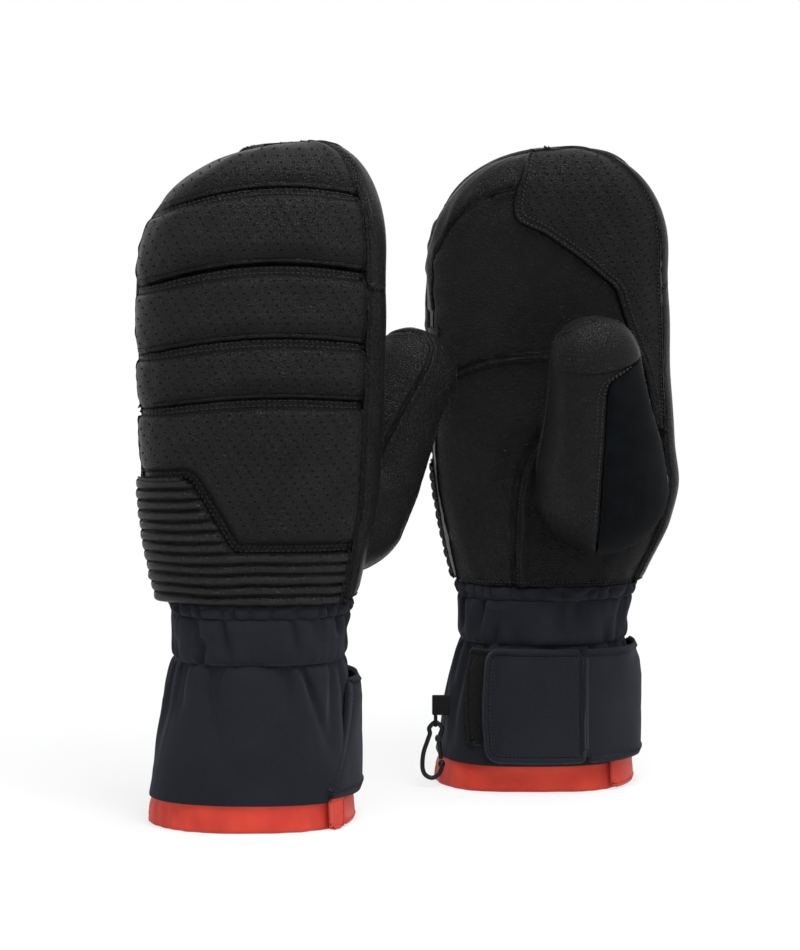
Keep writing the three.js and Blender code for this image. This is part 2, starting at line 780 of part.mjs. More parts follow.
// The carabiner lies in the XZ plane, with its eye's top at the origin. The gate's fork straddles
// a thin lug on the body, and the pin goes through both.
function carabiner() {
  const path = clipShares.map(([acrossShare, downShare]) => [
    clipHalfWidth * acrossShare,
    clipReach * downShare,
  ]);
  const [pivotX, pivotZ] = path[0];
  const [noseX, noseZ] = path.at(-1);
  const disc = (radius, thickness, y = 0) =>
    solidFrom(cylinderAlong("y", radius, thickness).translate(pivotX, y, pivotZ));
  const slab = (thickness, y = 0) => disc(clipLugRadius + clipWire, thickness, y);
  const forkMiddle = clipLugThickness / 2 + clipClearance + gateForkThickness / 2;
  const forkFace = forkMiddle + gateForkThickness / 2;
  const relief = disc(clipLugRadius + clipClearance, 4 * forkFace);
  const pinHole = disc(gatePinRadius + clipClearance, 4 * forkFace);
  const wire = wireThrough(path);
  const nose = new THREE.SphereGeometry(clipNoseRadius, wireSides, wireSides / 2);
  const body = wire
    .subtract(relief)
    .add(wire.intersect(slab(clipLugThickness)))
    .add(disc(clipLugRadius, clipLugThickness))
    .add(solidFrom(nose.translate(noseX, 0, noseZ)))
    .subtract(pinHole);
  const reach = Math.hypot(noseX - pivotX, noseZ - pivotZ);
  const share = 1 - (clipNoseRadius + clipClearance) / reach;
  const gateEnd = [mix(pivotX, noseX, share), mix(pivotZ, noseZ, share)];
  const bar = wireThrough([[pivotX, pivotZ], gateEnd]);
  let gate = bar.subtract(relief);
  for (const side of [-1, 1]) {
    const cheek = slab(gateForkThickness, side * forkMiddle);
    gate = gate.add(bar.intersect(cheek)).add(disc(clipLugRadius, gateForkThickness, side * forkMiddle));
  }
  const headY = forkFace + clipClearance + gatePinHead / 2;
  const pin = disc(gatePinRadius, 2 * headY)
    .add(disc(gatePinHeadRadius, gatePinHead, headY))
    .add(disc(gatePinHeadRadius, gatePinHead, -headY));
  return { body, gate: gate.subtract(pinHole), pin };
}

function buildMitten(side) {
  const mitten = {
    cuffRise: cuffRise[side],
    apexShift: apexShift[side],
    thumbSideBulge: thumbSideBulge[side],
    thumbRootInset: thumbRootInset[side],
    thumbRootRise: thumbRootRise[side],
  };
  const group = new THREE.Group();
  const add = (name, solid, look, parent = group) => {
    const mesh = new THREE.Mesh(geometryFrom(solid), look);
    mesh.name = `${side}_${name}`;
    parent.add(mesh);
  };

  const socket = thumbSocket(mitten);
  const { index, pinky, fingertipBand } = gussets(mitten);
  add("back_pad_hand", handPad(mitten), leatherLook);
  add("back_pad_knuckle", backPad(mitten, 1), leatherLook);
  add("back_pad_finger", backPad(mitten, 2), leatherLook);
  add("back_pad_fingerend", backPad(mitten, 3), leatherLook);
  add("back_pad_fingertip", fingertipPad(mitten), leatherLook);
  add("rib_panel", ribPanel(mitten), leatherLook);
  add("index_gusset", index.subtract(socket), leatherLook);
  add("pinky_gusset", pinky, leatherLook);
  add("fingertip_band", fingertipBand, leatherLook);
  add("palm_lower", palmPanel(mitten, 2, below(crossSeamShare)).subtract(socket), leatherLook);
  add("palm_upper", palmPanel(mitten, above(crossSeamShare), below(palmTopShare)), leatherLook);
  add("palm_overlay", palmOverlay(mitten).subtract(socket), leatherLook);
  add("hand_liner", handLiner(mitten).subtract(socket), linerLook);
  add("wrist_sleeve", wristSleeve(mitten), shellLook);
  add("wrist_elastic", wristElastic(mitten), webbingLook);
  add("cuff_shell", cuffShell(mitten), shellLook);
  add("cuff_lining", cuffLining(mitten), liningLook);
  add("lining_flap", liningFlap(mitten), liningLook);

  const { tab, hook, loop } = closure(mitten);
  add("strap_base", strapBase(mitten), shellLook);
  add("strap_tab", tab, shellLook);
  add("hook_patch", hook, webbingLook);
  add("loop_patch", loop, webbingLook);

  const swing = new THREE.Group();
  swing.position.copy(thumbRoot(mitten));
  swing.quaternion.setFromAxisAngle(thumbSwingAxis, thumbSplay[side]);
  const thumb = new THREE.Group();
  thumb.quaternion.copy(thumbFolded);
  swing.add(thumb);
  group.add(swing);
  const pieces = thumbPieces();
  add("thumb_back", pieces.back, leatherLook, thumb);
  add("thumb_front", pieces.front, leatherLook, thumb);
  add("thumb_wipe", pieces.wipe, suedeLook, thumb);
  add("thumb_liner", pieces.liner, linerLook, thumb);

  if (side === "right") {
    const { solid, hang } = clipTab(mitten);
    add("clip_tab", solid, webbingLook);
    const clip = new THREE.Group();
    clip.position.copy(hang);
    group.add(clip);
    const { body, gate, pin } = carabiner();
    add("carabiner_body", body, metalLook, clip);
    add("carabiner_gate", gate, metalLook, clip);
    add("carabiner_pin", pin, metalLook, clip);
  }
  return group;
}

const pair = new THREE.Group();
const left = buildMitten("left");
const right = buildMitten("right");
right.scale.y = -1;
right.position.set(pairSpacing, pairStagger, 0);
pair.add(left, right);

const middle = new THREE.Box3().setFromObject(pair).getCenter(new THREE.Vector3());
for (const mitten of [left, right]) {
  mitten.position.x -= middle.x;
  mitten.position.y -= middle.y;
}

export default pair;
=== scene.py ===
import math

import bmesh
import bpy
import numpy as np
from mathutils import Matrix, Vector


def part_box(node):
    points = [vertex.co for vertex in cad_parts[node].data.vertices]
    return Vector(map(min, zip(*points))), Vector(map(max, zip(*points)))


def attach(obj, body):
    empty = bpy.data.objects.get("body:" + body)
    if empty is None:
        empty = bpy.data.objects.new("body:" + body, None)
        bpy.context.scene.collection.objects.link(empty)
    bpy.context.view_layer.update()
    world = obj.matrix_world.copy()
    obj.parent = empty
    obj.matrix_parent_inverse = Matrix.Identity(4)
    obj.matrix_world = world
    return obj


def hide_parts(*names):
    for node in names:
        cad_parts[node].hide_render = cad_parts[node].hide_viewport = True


print("loading the packed mittens")
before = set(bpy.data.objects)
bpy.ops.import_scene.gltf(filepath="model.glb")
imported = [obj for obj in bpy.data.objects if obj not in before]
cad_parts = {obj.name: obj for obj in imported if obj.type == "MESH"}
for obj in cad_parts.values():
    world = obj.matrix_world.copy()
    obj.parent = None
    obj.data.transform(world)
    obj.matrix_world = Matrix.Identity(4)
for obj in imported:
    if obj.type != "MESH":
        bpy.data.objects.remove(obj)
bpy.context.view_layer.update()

# The camera looks along +Y from a little above the cuffs, as the photograph does
shot = {
    "target": (-0.0053, 0, 0.1562),
    "distance": 2.42,
    "elevation": 8,
    "lens": 193,
}


def makeCamera():
    lens = bpy.data.cameras.new("camera")
    lens.lens = shot["lens"]
    lens.sensor_width = 36
    lens.clip_start, lens.clip_end = 0.1, 20
    camera = bpy.data.objects.new("camera", lens)
    tilt = math.radians(shot["elevation"])
    back = Vector((0, -math.cos(tilt), math.sin(tilt)))
    camera.location = Vector(shot["target"]) + back * shot["distance"]
    camera.rotation_euler = (math.radians(90) - tilt, 0, 0)
    bpy.context.scene.collection.objects.link(camera)
    bpy.context.scene.camera = camera


makeCamera()


# Shader maths: a socket that takes Python's operators, and one method for any node
class Signal:
    def __init__(self, finish, socket):
        self.finish, self.socket = finish, socket

    def maths(self, operation, *others, flip=False):
        values = [self, *others]
        if flip:
            values.reverse()
        return self.finish.node("Math", {"operation": operation}, dict(enumerate(values)))

    def __add__(self, other):
        return self.maths("ADD", other)

    def __radd__(self, other):
        return self.maths("ADD", other)

    def __sub__(self, other):
        return self.maths("SUBTRACT", other)

    def __rsub__(self, other):
        return self.maths("SUBTRACT", other, flip=True)

    def __mul__(self, other):
        return self.maths("MULTIPLY", other)

    def __pow__(self, other):
        return self.maths("POWER", other)

    def waves(self, length):
        return (self * (2 * math.pi / length)).maths("SINE")

    def clipped(self, low, high):
        # 0 at low, 1 at high, smooth between
        return self.finish.node(
            "MapRange",
            {"interpolation_type": "SMOOTHSTEP"},
            {"Value": self, "From Min": low, "From Max": high},
        )


class Finish:
    def __init__(self, name, colour, roughness, **sockets):
        self.material = bpy.data.materials.new(name)
        self.material.use_nodes = True
        self.tree = self.material.node_tree
        self.shader = self.tree.nodes["Principled BSDF"]
        self.set("Base Color", (*colour, 1))
        self.set("Roughness", roughness)
        for socket, value in sockets.items():
            self.set(socket.replace("_", " "), value)

    def set(self, socket, value, node=None):
        target = (node or self.shader).inputs[socket]
        if isinstance(value, Signal):
            self.tree.links.new(value.socket, target)
        else:
            target.default_value = value

    def node(self, kind, settings=None, inputs=None, output=0):
        node = self.tree.nodes.new("ShaderNode" + kind)
        for key, value in (settings or {}).items():
            setattr(node, key, value)
        for key, value in (inputs or {}).items():
            self.set(key, value, node)
        return Signal(self, node.outputs[output])

    def place(self):
        return self.node("TexCoord", output="Object")

    def flat(self):
        return self.node("UVMap")

    def attribute(self, name):
        return self.node("Attribute", {"attribute_name": name}, output="Fac")

    def parts(self, vector):
        split = self.node("SeparateXYZ", inputs={"Vector": vector})
        outputs = split.socket.node.outputs
        return [Signal(self, outputs[axis]) for axis in "XYZ"]

    def speckle(self, where, size, detail=2, rough=0.5):
        inputs = {"Vector": where, "Scale": 1 / size, "Detail": detail, "Roughness": rough}
        return self.node("TexNoise", inputs=inputs)

    def cells(self, where, size, feature="F1"):
        return self.node("TexVoronoi", {"feature": feature}, {"Vector": where, "Scale": 1 / size})

    def blend(self, factor, first, second):
        inputs = {0: factor, 6: (*first, 1) if isinstance(first, tuple) else first}
        inputs[7] = (*second, 1) if isinstance(second, tuple) else second
        return self.node("Mix", {"data_type": "RGBA"}, inputs, output=2)

    def emboss(self, height, depth, strength=1):
        inputs = {"Height": height, "Distance": depth, "Strength": strength}
        self.set("Normal", self.node("Bump", inputs=inputs))


# Materials; sizes of patterns are in metres
leatherTone = {
    "dark": (0.0042, 0.0041, 0.0042),
    "worn": (0.0094, 0.0085, 0.0082),
    # edge: a lighter brownish tone for the rib tops, partly rubbed wear and partly painted highlight
    "edge": (0.0175, 0.0145, 0.0132),
    # hole: near-black painted shade inside the perforations
    "hole": (0.0006, 0.0006, 0.0006),
}
leatherGrain = {"pebble": 0.00085, "crease": 0.0012, "fine": 0.0004, "patch": 0.022, "depth": 0.0006}
holes = {
    "across": 0.0058,
    "up": 0.0028,
    "shift": 0.29,
    "radius": 0.0005,
    "margin": (0.0055, 0.006),
    "depth": 2.2,
}


def holeMask(finish):
    # Holes in rows, each row shifted against the last, and none near the edges
    across, up, _ = finish.parts(finish.flat())
    spacing, row = holes["across"], holes["up"]
    radius = holes["radius"] / spacing
    line = up * (1 / row)
    shift = (line.maths("FLOOR") * holes["shift"]).maths("FRACT")
    column = (across * (1 / spacing) + shift).maths("FRACT") - 0.5
    level = (line.maths("FRACT") - 0.5) * (row / spacing)
    reach = (column * column + level * level) ** 0.5
    margin = finish.attribute("seam")
    return (1 - reach.clipped(radius * 0.75, radius * 1.35)) * margin.clipped(*holes["margin"])


def makeLeather(name, perforated=False, ribbed=False):
    finish = Finish(name, leatherTone["dark"], 0.42, Specular_IOR_Level=0.24 if ribbed else 0.14)
    where = finish.place()
    pebbles = finish.cells(where, leatherGrain["pebble"])
    creases = finish.cells(where, leatherGrain["crease"], "DISTANCE_TO_EDGE")
    fine = finish.speckle(where, leatherGrain["fine"], 3)
    patches = finish.speckle(where, leatherGrain["patch"], 3)
    grain = pebbles * 0.5 + creases.clipped(0, 0.14) * 0.6 + fine * 0.3
    worn = patches.clipped(0.42, 0.72) * 0.55
    tone = finish.blend(worn, leatherTone["dark"], leatherTone["worn"])
    roughness = 0.25 + patches * 0.1 + fine * 0.08
    if ribbed:
        # The rib tops near the slanted seam are painted lighter: partly rubbed wear, partly painted
        # highlight
        ridge = finish.attribute("ridge")
        wearAndHighlight = ridge.clipped(0.7, 1) * patches.clipped(0.3, 0.7)
        tone = finish.blend(wearAndHighlight * 0.6, tone, leatherTone["edge"])
        roughness = roughness - ridge.clipped(0.6, 1) * 0.08
    if perforated:
        hole = holeMask(finish)
        grain = grain * (1 - hole) - hole * holes["depth"]
        # The perforations' insides are painted near-black as shade
        tone = finish.blend(hole, tone, leatherTone["hole"])
        roughness = roughness + hole * 0.5
    finish.set("Base Color", tone)
    finish.set("Roughness", roughness)
    finish.emboss(grain, leatherGrain["depth"])
    return finish.material


softshell = {"yarn": 0.00085, "fleck": 0.0008, "drift": 0.03, "depth": 0.00012}


def makeFabric(name, dark, light):
    finish = Finish(name, dark, 0.82, Specular_IOR_Level=0.1, Sheen_Weight=0.08, Sheen_Roughness=0.5)
    finish.set("Sheen Tint", (0.55, 0.6, 0.75, 1))
    across, up, _ = finish.parts(finish.flat())
    twill = (across + up).waves(softshell["yarn"])
    weft = (across - up).waves(softshell["yarn"] * 0.7)
    dots = (twill * 0.5 + 0.5) * (weft * 0.5 + 0.5)
    where = finish.place()
    fleck = finish.speckle(where, softshell["fleck"])
    drift = finish.speckle(where, softshell["drift"])
    shade = dots.clipped(0.35, 0.85) * fleck.clipped(0.35, 0.7) + drift.clipped(0.35, 0.75) * 0.12
    finish.set("Base Color", finish.blend(shade, dark, light))
    finish.set("Roughness", 0.74 + fleck * 0.2)
    finish.emboss(twill * 0.5 + weft * 0.2 + fleck * 0.7, softshell["depth"], 0.6)
    return finish.material


suede = {
    "tone": (0.003, 0.0036, 0.0044),
    "dark": (0.0012, 0.0018, 0.0024),
    "light": (0.0048, 0.006, 0.0072),
    "nap": 0.0009,
    "brushed": 0.012,
    "depth": 0.0003,
}


def makeSuede(name):
    sheen = {"Sheen_Weight": 0.02, "Sheen_Roughness": 0.6}
    finish = Finish(name, suede["tone"], 0.95, Specular_IOR_Level=0.02, **sheen)
    where = finish.place()
    nap = finish.speckle(where, suede["nap"], 4, 0.7)
    brushed = finish.speckle(where, suede["brushed"], 3)
    shade = nap * 0.5 + brushed.clipped(0.4, 0.7) * 0.4
    finish.set("Base Color", finish.blend(shade, suede["dark"], suede["light"]))
    finish.emboss(nap, suede["depth"], 0.8)
    return finish.material


pile = {"curl": 0.0011, "fuzz": 0.0005, "light": 4, "depth": 0.0006}


def makeLoops(name, tone):
    finish = Finish(name, tone, 1, Specular_IOR_Level=0.08, Sheen_Weight=0.08)
    where = finish.place()
    curls = finish.cells(where, pile["curl"])
    fuzz = finish.speckle(where, pile["fuzz"], 4, 0.7)
    light = tuple(pile["light"] * value for value in tone)
    shade = curls * 0.5 + fuzz.clipped(0.5, 0.75) * 0.5
    finish.set("Base Color", finish.blend(shade, tone, light))
    finish.emboss(curls * 0.6 + fuzz, pile["depth"])
    return finish.material


lining = {
    "tone": (0.62, 0.045, 0.022),
    "dark": (0.5, 0.033, 0.018),
    "light": (0.62, 0.052, 0.027),
    "yarn": 0.0007,
    "drift": 0.02,
    "depth": 0.00008,
}


def makeLining(name):
    finish = Finish(name, lining["tone"], 0.62, Specular_IOR_Level=0.25, Sheen_Weight=0.1)
    across, up, _ = finish.parts(finish.flat())
    plain = across.waves(lining["yarn"]) * up.waves(lining["yarn"])
    drift = finish.speckle(finish.place(), lining["drift"])
    finish.set("Base Color", finish.blend(drift.clipped(0.3, 0.7), lining["dark"], lining["light"]))
    finish.set("Roughness", 0.55 + drift * 0.15)
    finish.emboss(plain * 0.5 + drift, lining["depth"], 0.5)
    return finish.material


webbing = {"across": 0.0012, "up": 0.0016, "fuzz": 0.0006, "light": 2.6, "depth": 0.00025}


def makeWebbing(name, tone):
    finish = Finish(name, tone, 0.85, Specular_IOR_Level=0.15)
    where = finish.place()
    x, y, z = finish.parts(where)
    ribs = (x + y).waves(webbing["across"]) * z.waves(webbing["up"])
    fuzz = finish.speckle(where, webbing["fuzz"], 3)
    light = tuple(webbing["light"] * value for value in tone)
    finish.set("Base Color", finish.blend(fuzz * 0.6 + ribs * 0.2, tone, light))
    finish.emboss(ribs + fuzz * 0.6, webbing["depth"], 0.8)
    return finish.material


metal = {
    "tone": (0.018, 0.019, 0.021),
    "dark": (0.016, 0.017, 0.019),
    "light": (0.07, 0.07, 0.072),
    "scuff": 0.0025,
    "depth": 0.00003,
}


def makeMetal(name):
    finish = Finish(name, metal["tone"], 0.34, Metallic=0.85)
    scuffs = finish.speckle(finish.place(), metal["scuff"], 4, 0.6)
    bare = scuffs.clipped(0.6, 0.75) * 0.5
    finish.set("Base Color", finish.blend(bare, metal["dark"], metal["light"]))
    finish.set("Roughness", 0.28 + scuffs * 0.18)
    finish.emboss(scuffs, metal["depth"], 0.5)
    return finish.material


thread = {"twist": 0.0006, "light": 1.8}


def makeThread(name, tone):
    finish = Finish(name, tone, 0.5, Specular_IOR_Level=0.3)
    x, _, z = finish.parts(finish.place())
    twist = (x + z).waves(thread["twist"])
    light = tuple(thread["light"] * value for value in tone)
    finish.set("Base Color", finish.blend(twist * 0.5 + 0.5, tone, light))
    return finish.material


looks = {
    "leather": makeLeather("leather"),
    "padLeather": makeLeather("padLeather", perforated=True),
    "ribLeather": makeLeather("ribLeather", ribbed=True),
    "suede": makeSuede("suede"),
    "shell": makeFabric("softshell", (0.0092, 0.0098, 0.0129), (0.031, 0.0335, 0.043)),
    "lining": makeLining("lining"),
    "fleece": makeLoops("fleece", (0.012, 0.012, 0.013)),
    "loops": makeLoops("loops", (0.0025, 0.0025, 0.0028)),
    "webbing": makeWebbing("webbing", (0.0055, 0.0055, 0.006)),
    "metal": makeMetal("metal"),
    "thread": makeThread("thread", (0.016, 0.0155, 0.0155)),
    "shellThread": makeThread("shellThread", (0.011, 0.0118, 0.0155)),
}


# The mitten's outer surface, by level and angle. A level is 0 at the hem, 1 at the wrist, 2 at the
# leather's edge, 3 where the fingertips' dome begins and 4 at its top. The tables hold levels and
# shares
cut = {
    "hem": (0.047, 0.038),
    "wrist": (0.0405, 0.031),
    "edge": (0.043, 0.031, 0.029),
    "hand": (0.057, 0.033, 0.023),
    "wristRise": 0.028,
    "handRise": 0.157,
    "domeRise": 0.053,
    "shifts": (0.004, 0.005),
    "curl": 0.018,
    "arch": 0.013,
    "tilt": 0.004,
    "ringPower": 2.5,
    "domePower": 2.9,
    "cuffTaper": [(0, 0), (0.45, 0.14), (0.73, 0.48), (1, 1)],
    "handWidth": [(0, 0), (0.07, 0.2), (0.2, 0.51), (0.35, 0.75), (0.65, 0.93), (0.9, 1), (2, 1)],
    "backDepth": [(0, 0), (0.2, 1), (0.65, 1), (1, 0.86), (2, 0.7)],
    "palmDepth": [(0, 0), (0.2, 0.8), (0.35, 1), (1, 1), (2, 0.78)],
    "bulge": [(1.5, 0), (2, 0.25), (2.2, 0.95), (2.3, 1), (2.45, 0.65), (2.7, 0.25), (3, 0)],
}
# What differs between the two: how each has slumped, and where its thumb starts
lie = {
    "left": {
        "cuffRise": 0.078,
        "apexShift": 0.020,
        "bulge": 0,
        "flare": 0.0046,
        "fingertip": 1,
        "root": (0.042, 0.037, 0.037),
        "splay": 34,
    },
    "right": {
        "cuffRise": 0.071,
        "apexShift": 0,
        "bulge": 0.010,
        "flare": 0.0008,
        "fingertip": 0.45,
        "root": (0.031, 0.037, 0.050),
        "splay": 0,
    },
}
seams = {
    "index": math.radians(24),
    "pinky": math.radians(164),
    "pinkyBack": math.radians(184),
    "welt": math.radians(325),
    "pads": (2.159, 2.613, 2.788, 3, 3.37),
    "ribTop": 2.388,
    "step": (-0.12, -0.48),
    "gap": 0.0002,
    "turn": 0.002,
}


def through(table, place):
    # A smooth curve through a table's rows that never overshoots them
    xs, ys = np.array(table, float).T
    step = np.diff(xs)
    slope = np.diff(ys) / step
    lean = np.concatenate([[slope[0]], np.zeros(len(xs) - 2), [slope[-1]]])
    rising = slope[:-1] * slope[1:] > 0
    both = np.where(rising, slope[:-1] + slope[1:], 1)
    lean[1:-1] = np.where(rising, 2 * slope[:-1] * slope[1:] / both, 0)
    place = np.clip(place, xs[0], xs[-1])
    i = np.clip(np.searchsorted(xs, place) - 1, 0, len(step) - 1)
    t = (place - xs[i]) / step[i]
    return (
        (1 + 2 * t) * (1 - t) ** 2 * ys[i]
        + t * (1 - t) ** 2 * step[i] * lean[i]
        + t * t * (3 - 2 * t) * ys[i + 1]
        + t * t * (t - 1) * step[i] * lean[i + 1]
    )


def signed(value, power):
    return np.sign(value) * np.abs(value) ** power


def mix(first, second, share):
    return first + (second - first) * share


def ramp(value, reach):
    # 0 to 1 over the reach, and level before and after it
    return np.clip(value / reach, 0, 1)


def fade(gap, reach):
    # 1 at an edge, dying away from it
    return np.exp(-gap / reach)


def bell(gap, width):
    # 1 where the gap is 0, falling smoothly on both sides
    return np.exp(-((gap / width) ** 2))


def runOf(points):
    # The length run along a line, at each of its points
    return np.concatenate([[0], np.cumsum(np.linalg.norm(np.diff(points, axis=0), axis=1))])


def ripple(points, size, seed, waves=9):
    # A smooth random field of about unit height, whose bumps are about that size
    rng = np.random.default_rng(seed)
    total = np.zeros(len(points))
    for _ in range(waves):
        way = rng.normal(size=3)
        way *= 2 * math.pi / (size * rng.uniform(0.65, 1.7)) / np.linalg.norm(way)
        total += np.sin(points @ way + rng.uniform(0, 2 * math.pi))
    return total / math.sqrt(waves)


def flatRipple(flat, size, seed, stretch=(1, 1)):
    # The same field on a flat piece; a smaller stretch draws its bumps out along that axis
    return ripple(np.column_stack([flat * stretch, np.zeros(len(flat))]), size, seed)


def lobes(place, count, seed, power=0.7):
    # Rounded lobes of random width and height round a ring; place runs from 0 to 1
    rng = np.random.default_rng(seed)
    ends = np.cumsum(rng.uniform(0.55, 1.5, count))
    ends /= ends[-1]
    starts = np.concatenate([[0], ends[:-1]])
    heights = rng.uniform(0.55, 1, count)
    place = np.mod(place, 1)
    i = np.clip(np.searchsorted(ends, place), 0, count - 1)
    return heights[i] * np.sin(math.pi * (place - starts[i]) / (ends[i] - starts[i])) ** power


class Mitten:
    def __init__(self, side):
        self.side = side
        low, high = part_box(side + "_cuff_lining")
        self.origin = ((low.x + high.x) / 2, (low.y + high.y) / 2)
        self.flip = 1 if side == "left" else -1
        mine = lie[side]
        self.cuffRise, self.apexShift = mine["cuffRise"], mine["apexShift"]
        self.bulge, self.flare, self.fingertip = mine["bulge"], mine["flare"], mine["fingertip"]
        self.splay = math.radians(mine["splay"])
        self.edge = self.cuffRise + cut["wristRise"]
        self.root = np.array(mine["root"]) + (0, 0, self.edge)

    def ring(self, level):
        hemWide, hemDeep = cut["hem"]
        wristWide, wristDeep = cut["wrist"]
        edgeWide, edgeBack, edgePalm = cut["edge"]
        handWide, handBack, handPalm = cut["hand"]
        wristShift, handShift = cut["shifts"]
        taper = through(cut["cuffTaper"], np.clip(level, 0, 1))
        sleeve = np.clip(level - 1, 0, 1)
        up = np.clip(level - 2, 0, 2)
        turn = math.pi / 2 * np.clip(up - 1, 0, 1)
        power = 2 / cut["domePower"]
        opening, end = np.cos(turn) ** power, np.sin(turn) ** power
        rise = cut["handRise"] * np.minimum(up, 1) + cut["domeRise"] * end
        climb = rise / (cut["handRise"] + cut["domeRise"])
        wide = through(cut["handWidth"], up)
        back, palm = through(cut["backDepth"], up), through(cut["palmDepth"], up)
        leaning = self.apexShift * (1 - opening)
        zones = [level <= 1, level <= 2]

        def pick(cuff, wrist, hand):
            return np.select(zones, [cuff, wrist], hand)

        square = sleeve * sleeve
        return {
            "z": pick(
                self.cuffRise * level, self.cuffRise + cut["wristRise"] * sleeve, self.edge + rise
            ),
            "x": pick(wristShift * taper, mix(wristShift, handShift, sleeve), handShift + leaning),
            "y": cut["curl"] * climb * climb,
            "wide": pick(
                mix(hemWide, wristWide, taper),
                mix(wristWide, edgeWide, square),
                opening * mix(edgeWide, handWide, wide),
            ),
            "back": pick(
                mix(hemDeep, wristDeep, taper),
                mix(wristDeep, edgeBack, square),
                opening * mix(edgeBack, handBack, back),
            ),
            "palm": pick(
                mix(hemDeep, wristDeep, taper),
                mix(wristDeep, edgePalm, square),
                opening * mix(edgePalm, handPalm, palm),
            ),
            "bulge": self.bulge * through(cut["bulge"], level),
            "climb": climb,
            "open": opening,
            "end": end,
        }

    def local(self, level, angle, offset=0.0):
        places = (np.asarray(value, float) for value in (level, angle, offset))
        level, angle, offset = np.broadcast_arrays(*places)
        at = self.ring(level)
        power = 2 / cut["ringPower"]
        deep = np.where(np.sin(angle) >= 0, at["palm"], at["back"])
        wide = at["wide"] + np.where(np.cos(angle) > 0, at["bulge"], 0)
        across = (wide + offset * at["open"]) * signed(np.cos(angle), power)
        out = (deep + offset * at["open"]) * signed(np.sin(angle), power)
        side = across / cut["hand"][0]
        lift = at["climb"] * (cut["tilt"] * side - cut["arch"] * side * side)
        return np.stack([at["x"] + across, at["y"] + out, at["z"] + offset * at["end"] + lift], -1)

    def world(self, points):
        return points * (1, self.flip, 1) + (*self.origin, 0)

    def normals(self, level, angle):
        step = 2e-3
        level = np.minimum(level, 4 - 2 * step)
        up = self.local(level + step, angle) - self.local(level - step, angle)
        along = self.local(level, angle + step) - self.local(level, angle - step)
        out = np.cross(along, up)
        return out / np.maximum(np.linalg.norm(out, axis=-1, keepdims=True), 1e-12)

    def angleAtX(self, level, x, onBack=False):
        at = self.ring(np.asarray(level, float))
        wide = at["wide"] + np.where(x > at["x"], at["bulge"], 0)
        share = np.clip((x - at["x"]) / wide, -1, 1)
        angle = np.arccos(signed(share, cut["ringPower"] / 2))
        return 2 * math.pi - angle if onBack else angle


mittens = {side: Mitten(side) for side in ("left", "right")}
body = "mittens"


# Flat patterns that are cut, then laid on the surface
class Pattern:
    # A flat piece: u runs round the mitten from one angle to another, v up it between two levels
    def __init__(self, mitten, low, high, first, last):
        self.mitten, self.low, self.high, self.first, self.last = mitten, low, high, first, last
        levels = np.linspace(low, high, 241)
        middle = mitten.local(levels, (first + last) / 2)
        run = runOf(middle)
        self.levels, self.climbs, self.height = levels, run, run[-1]
        self.angles = np.linspace(first, last, 361)
        runs = []
        for share in (0, 0.25, 0.5, 0.75, 1):
            level = mix(low, min(high, 3.9), share)
            row = mitten.local(level, self.angles)
            runs.append(runOf(row))
        self.width = max(run[-1] for run in runs)
        self.shares = np.mean([run / run[-1] for run in runs], axis=0)

    def levelOf(self, v):
        return np.interp(v, self.climbs, self.levels)

    def climbOf(self, level):
        return np.interp(level, self.levels, self.climbs)

    def angleOf(self, u):
        return np.interp(np.asarray(u) / self.width, self.shares, self.angles)

    def acrossOf(self, angle):
        return np.interp(angle, self.angles, self.shares) * self.width

    def lay(self, flat, offset):
        level, angle = self.levelOf(flat[:, 1]), self.angleOf(flat[:, 0])
        points = self.mitten.local(level, angle)
        return points + self.mitten.normals(level, angle) * offset[:, None]

    def box(self):
        return [(0, 0), (self.width, 0), (self.width, self.height), (0, self.height)]


def nearestOnOutline(flat, outline, closed=True):
    # The distance of each flat point to an outline or an open line, and its nearest point there
    starts = np.array(outline, float)
    ends = np.roll(starts, -1, axis=0)
    if not closed:
        starts, ends = starts[:-1], ends[:-1]
    way = ends - starts
    length = np.maximum((way**2).sum(1), 1e-18)
    t = np.clip(((flat[:, None] - starts) * way).sum(2) / length, 0, 1)
    spot = starts + t[..., None] * way
    gap = np.linalg.norm(flat[:, None] - spot, axis=2)
    best = gap.argmin(1)
    rows = np.arange(len(flat))
    return gap[rows, best], spot[rows, best]


def insideOutline(flat, outline):
    x, y = flat[:, 0], flat[:, 1]
    inside = np.zeros(len(flat), bool)
    for (ax, ay), (bx, by) in zip(outline, [*outline[1:], outline[0]]):
        crosses = (ay > y) != (by > y)
        with np.errstate(divide="ignore", invalid="ignore"):
            inside ^= crosses & (x < (bx - ax) * (y - ay) / (by - ay) + ax)
    return inside


def roundOff(points, radius, steps=5):
    # An outline with its corners rounded; a radius per corner, or one for all
    radii = radius if isinstance(radius, (list, tuple)) else [radius] * len(points)
    made = []
    for i, corner in enumerate(points):
        before, after = Vector(points[i - 1]), Vector(points[(i + 1) % len(points)])
        corner = Vector(corner)
        reach = min(radii[i], 0.45 * (before - corner).length, 0.45 * (after - corner).length)
        if reach < 1e-5:
            made.append(tuple(corner))
            continue
        a = corner.lerp(before, reach / (before - corner).length)
        b = corner.lerp(after, reach / (after - corner).length)
        for step in range(steps + 1):
            t = step / steps
            made.append(tuple(a.lerp(corner, t).lerp(corner.lerp(b, t), t)))
    return made


def cutAway(sheet, gone):
    # Deletes the marked vertices, and those that no face is left to hold
    marked = [vert for vert, away in zip(list(sheet.verts), gone) if away]
    bmesh.ops.delete(sheet, geom=marked, context="VERTS")
    loose = [vert for vert in sheet.verts if not vert.link_faces]
    bmesh.ops.delete(sheet, geom=loose, context="VERTS")


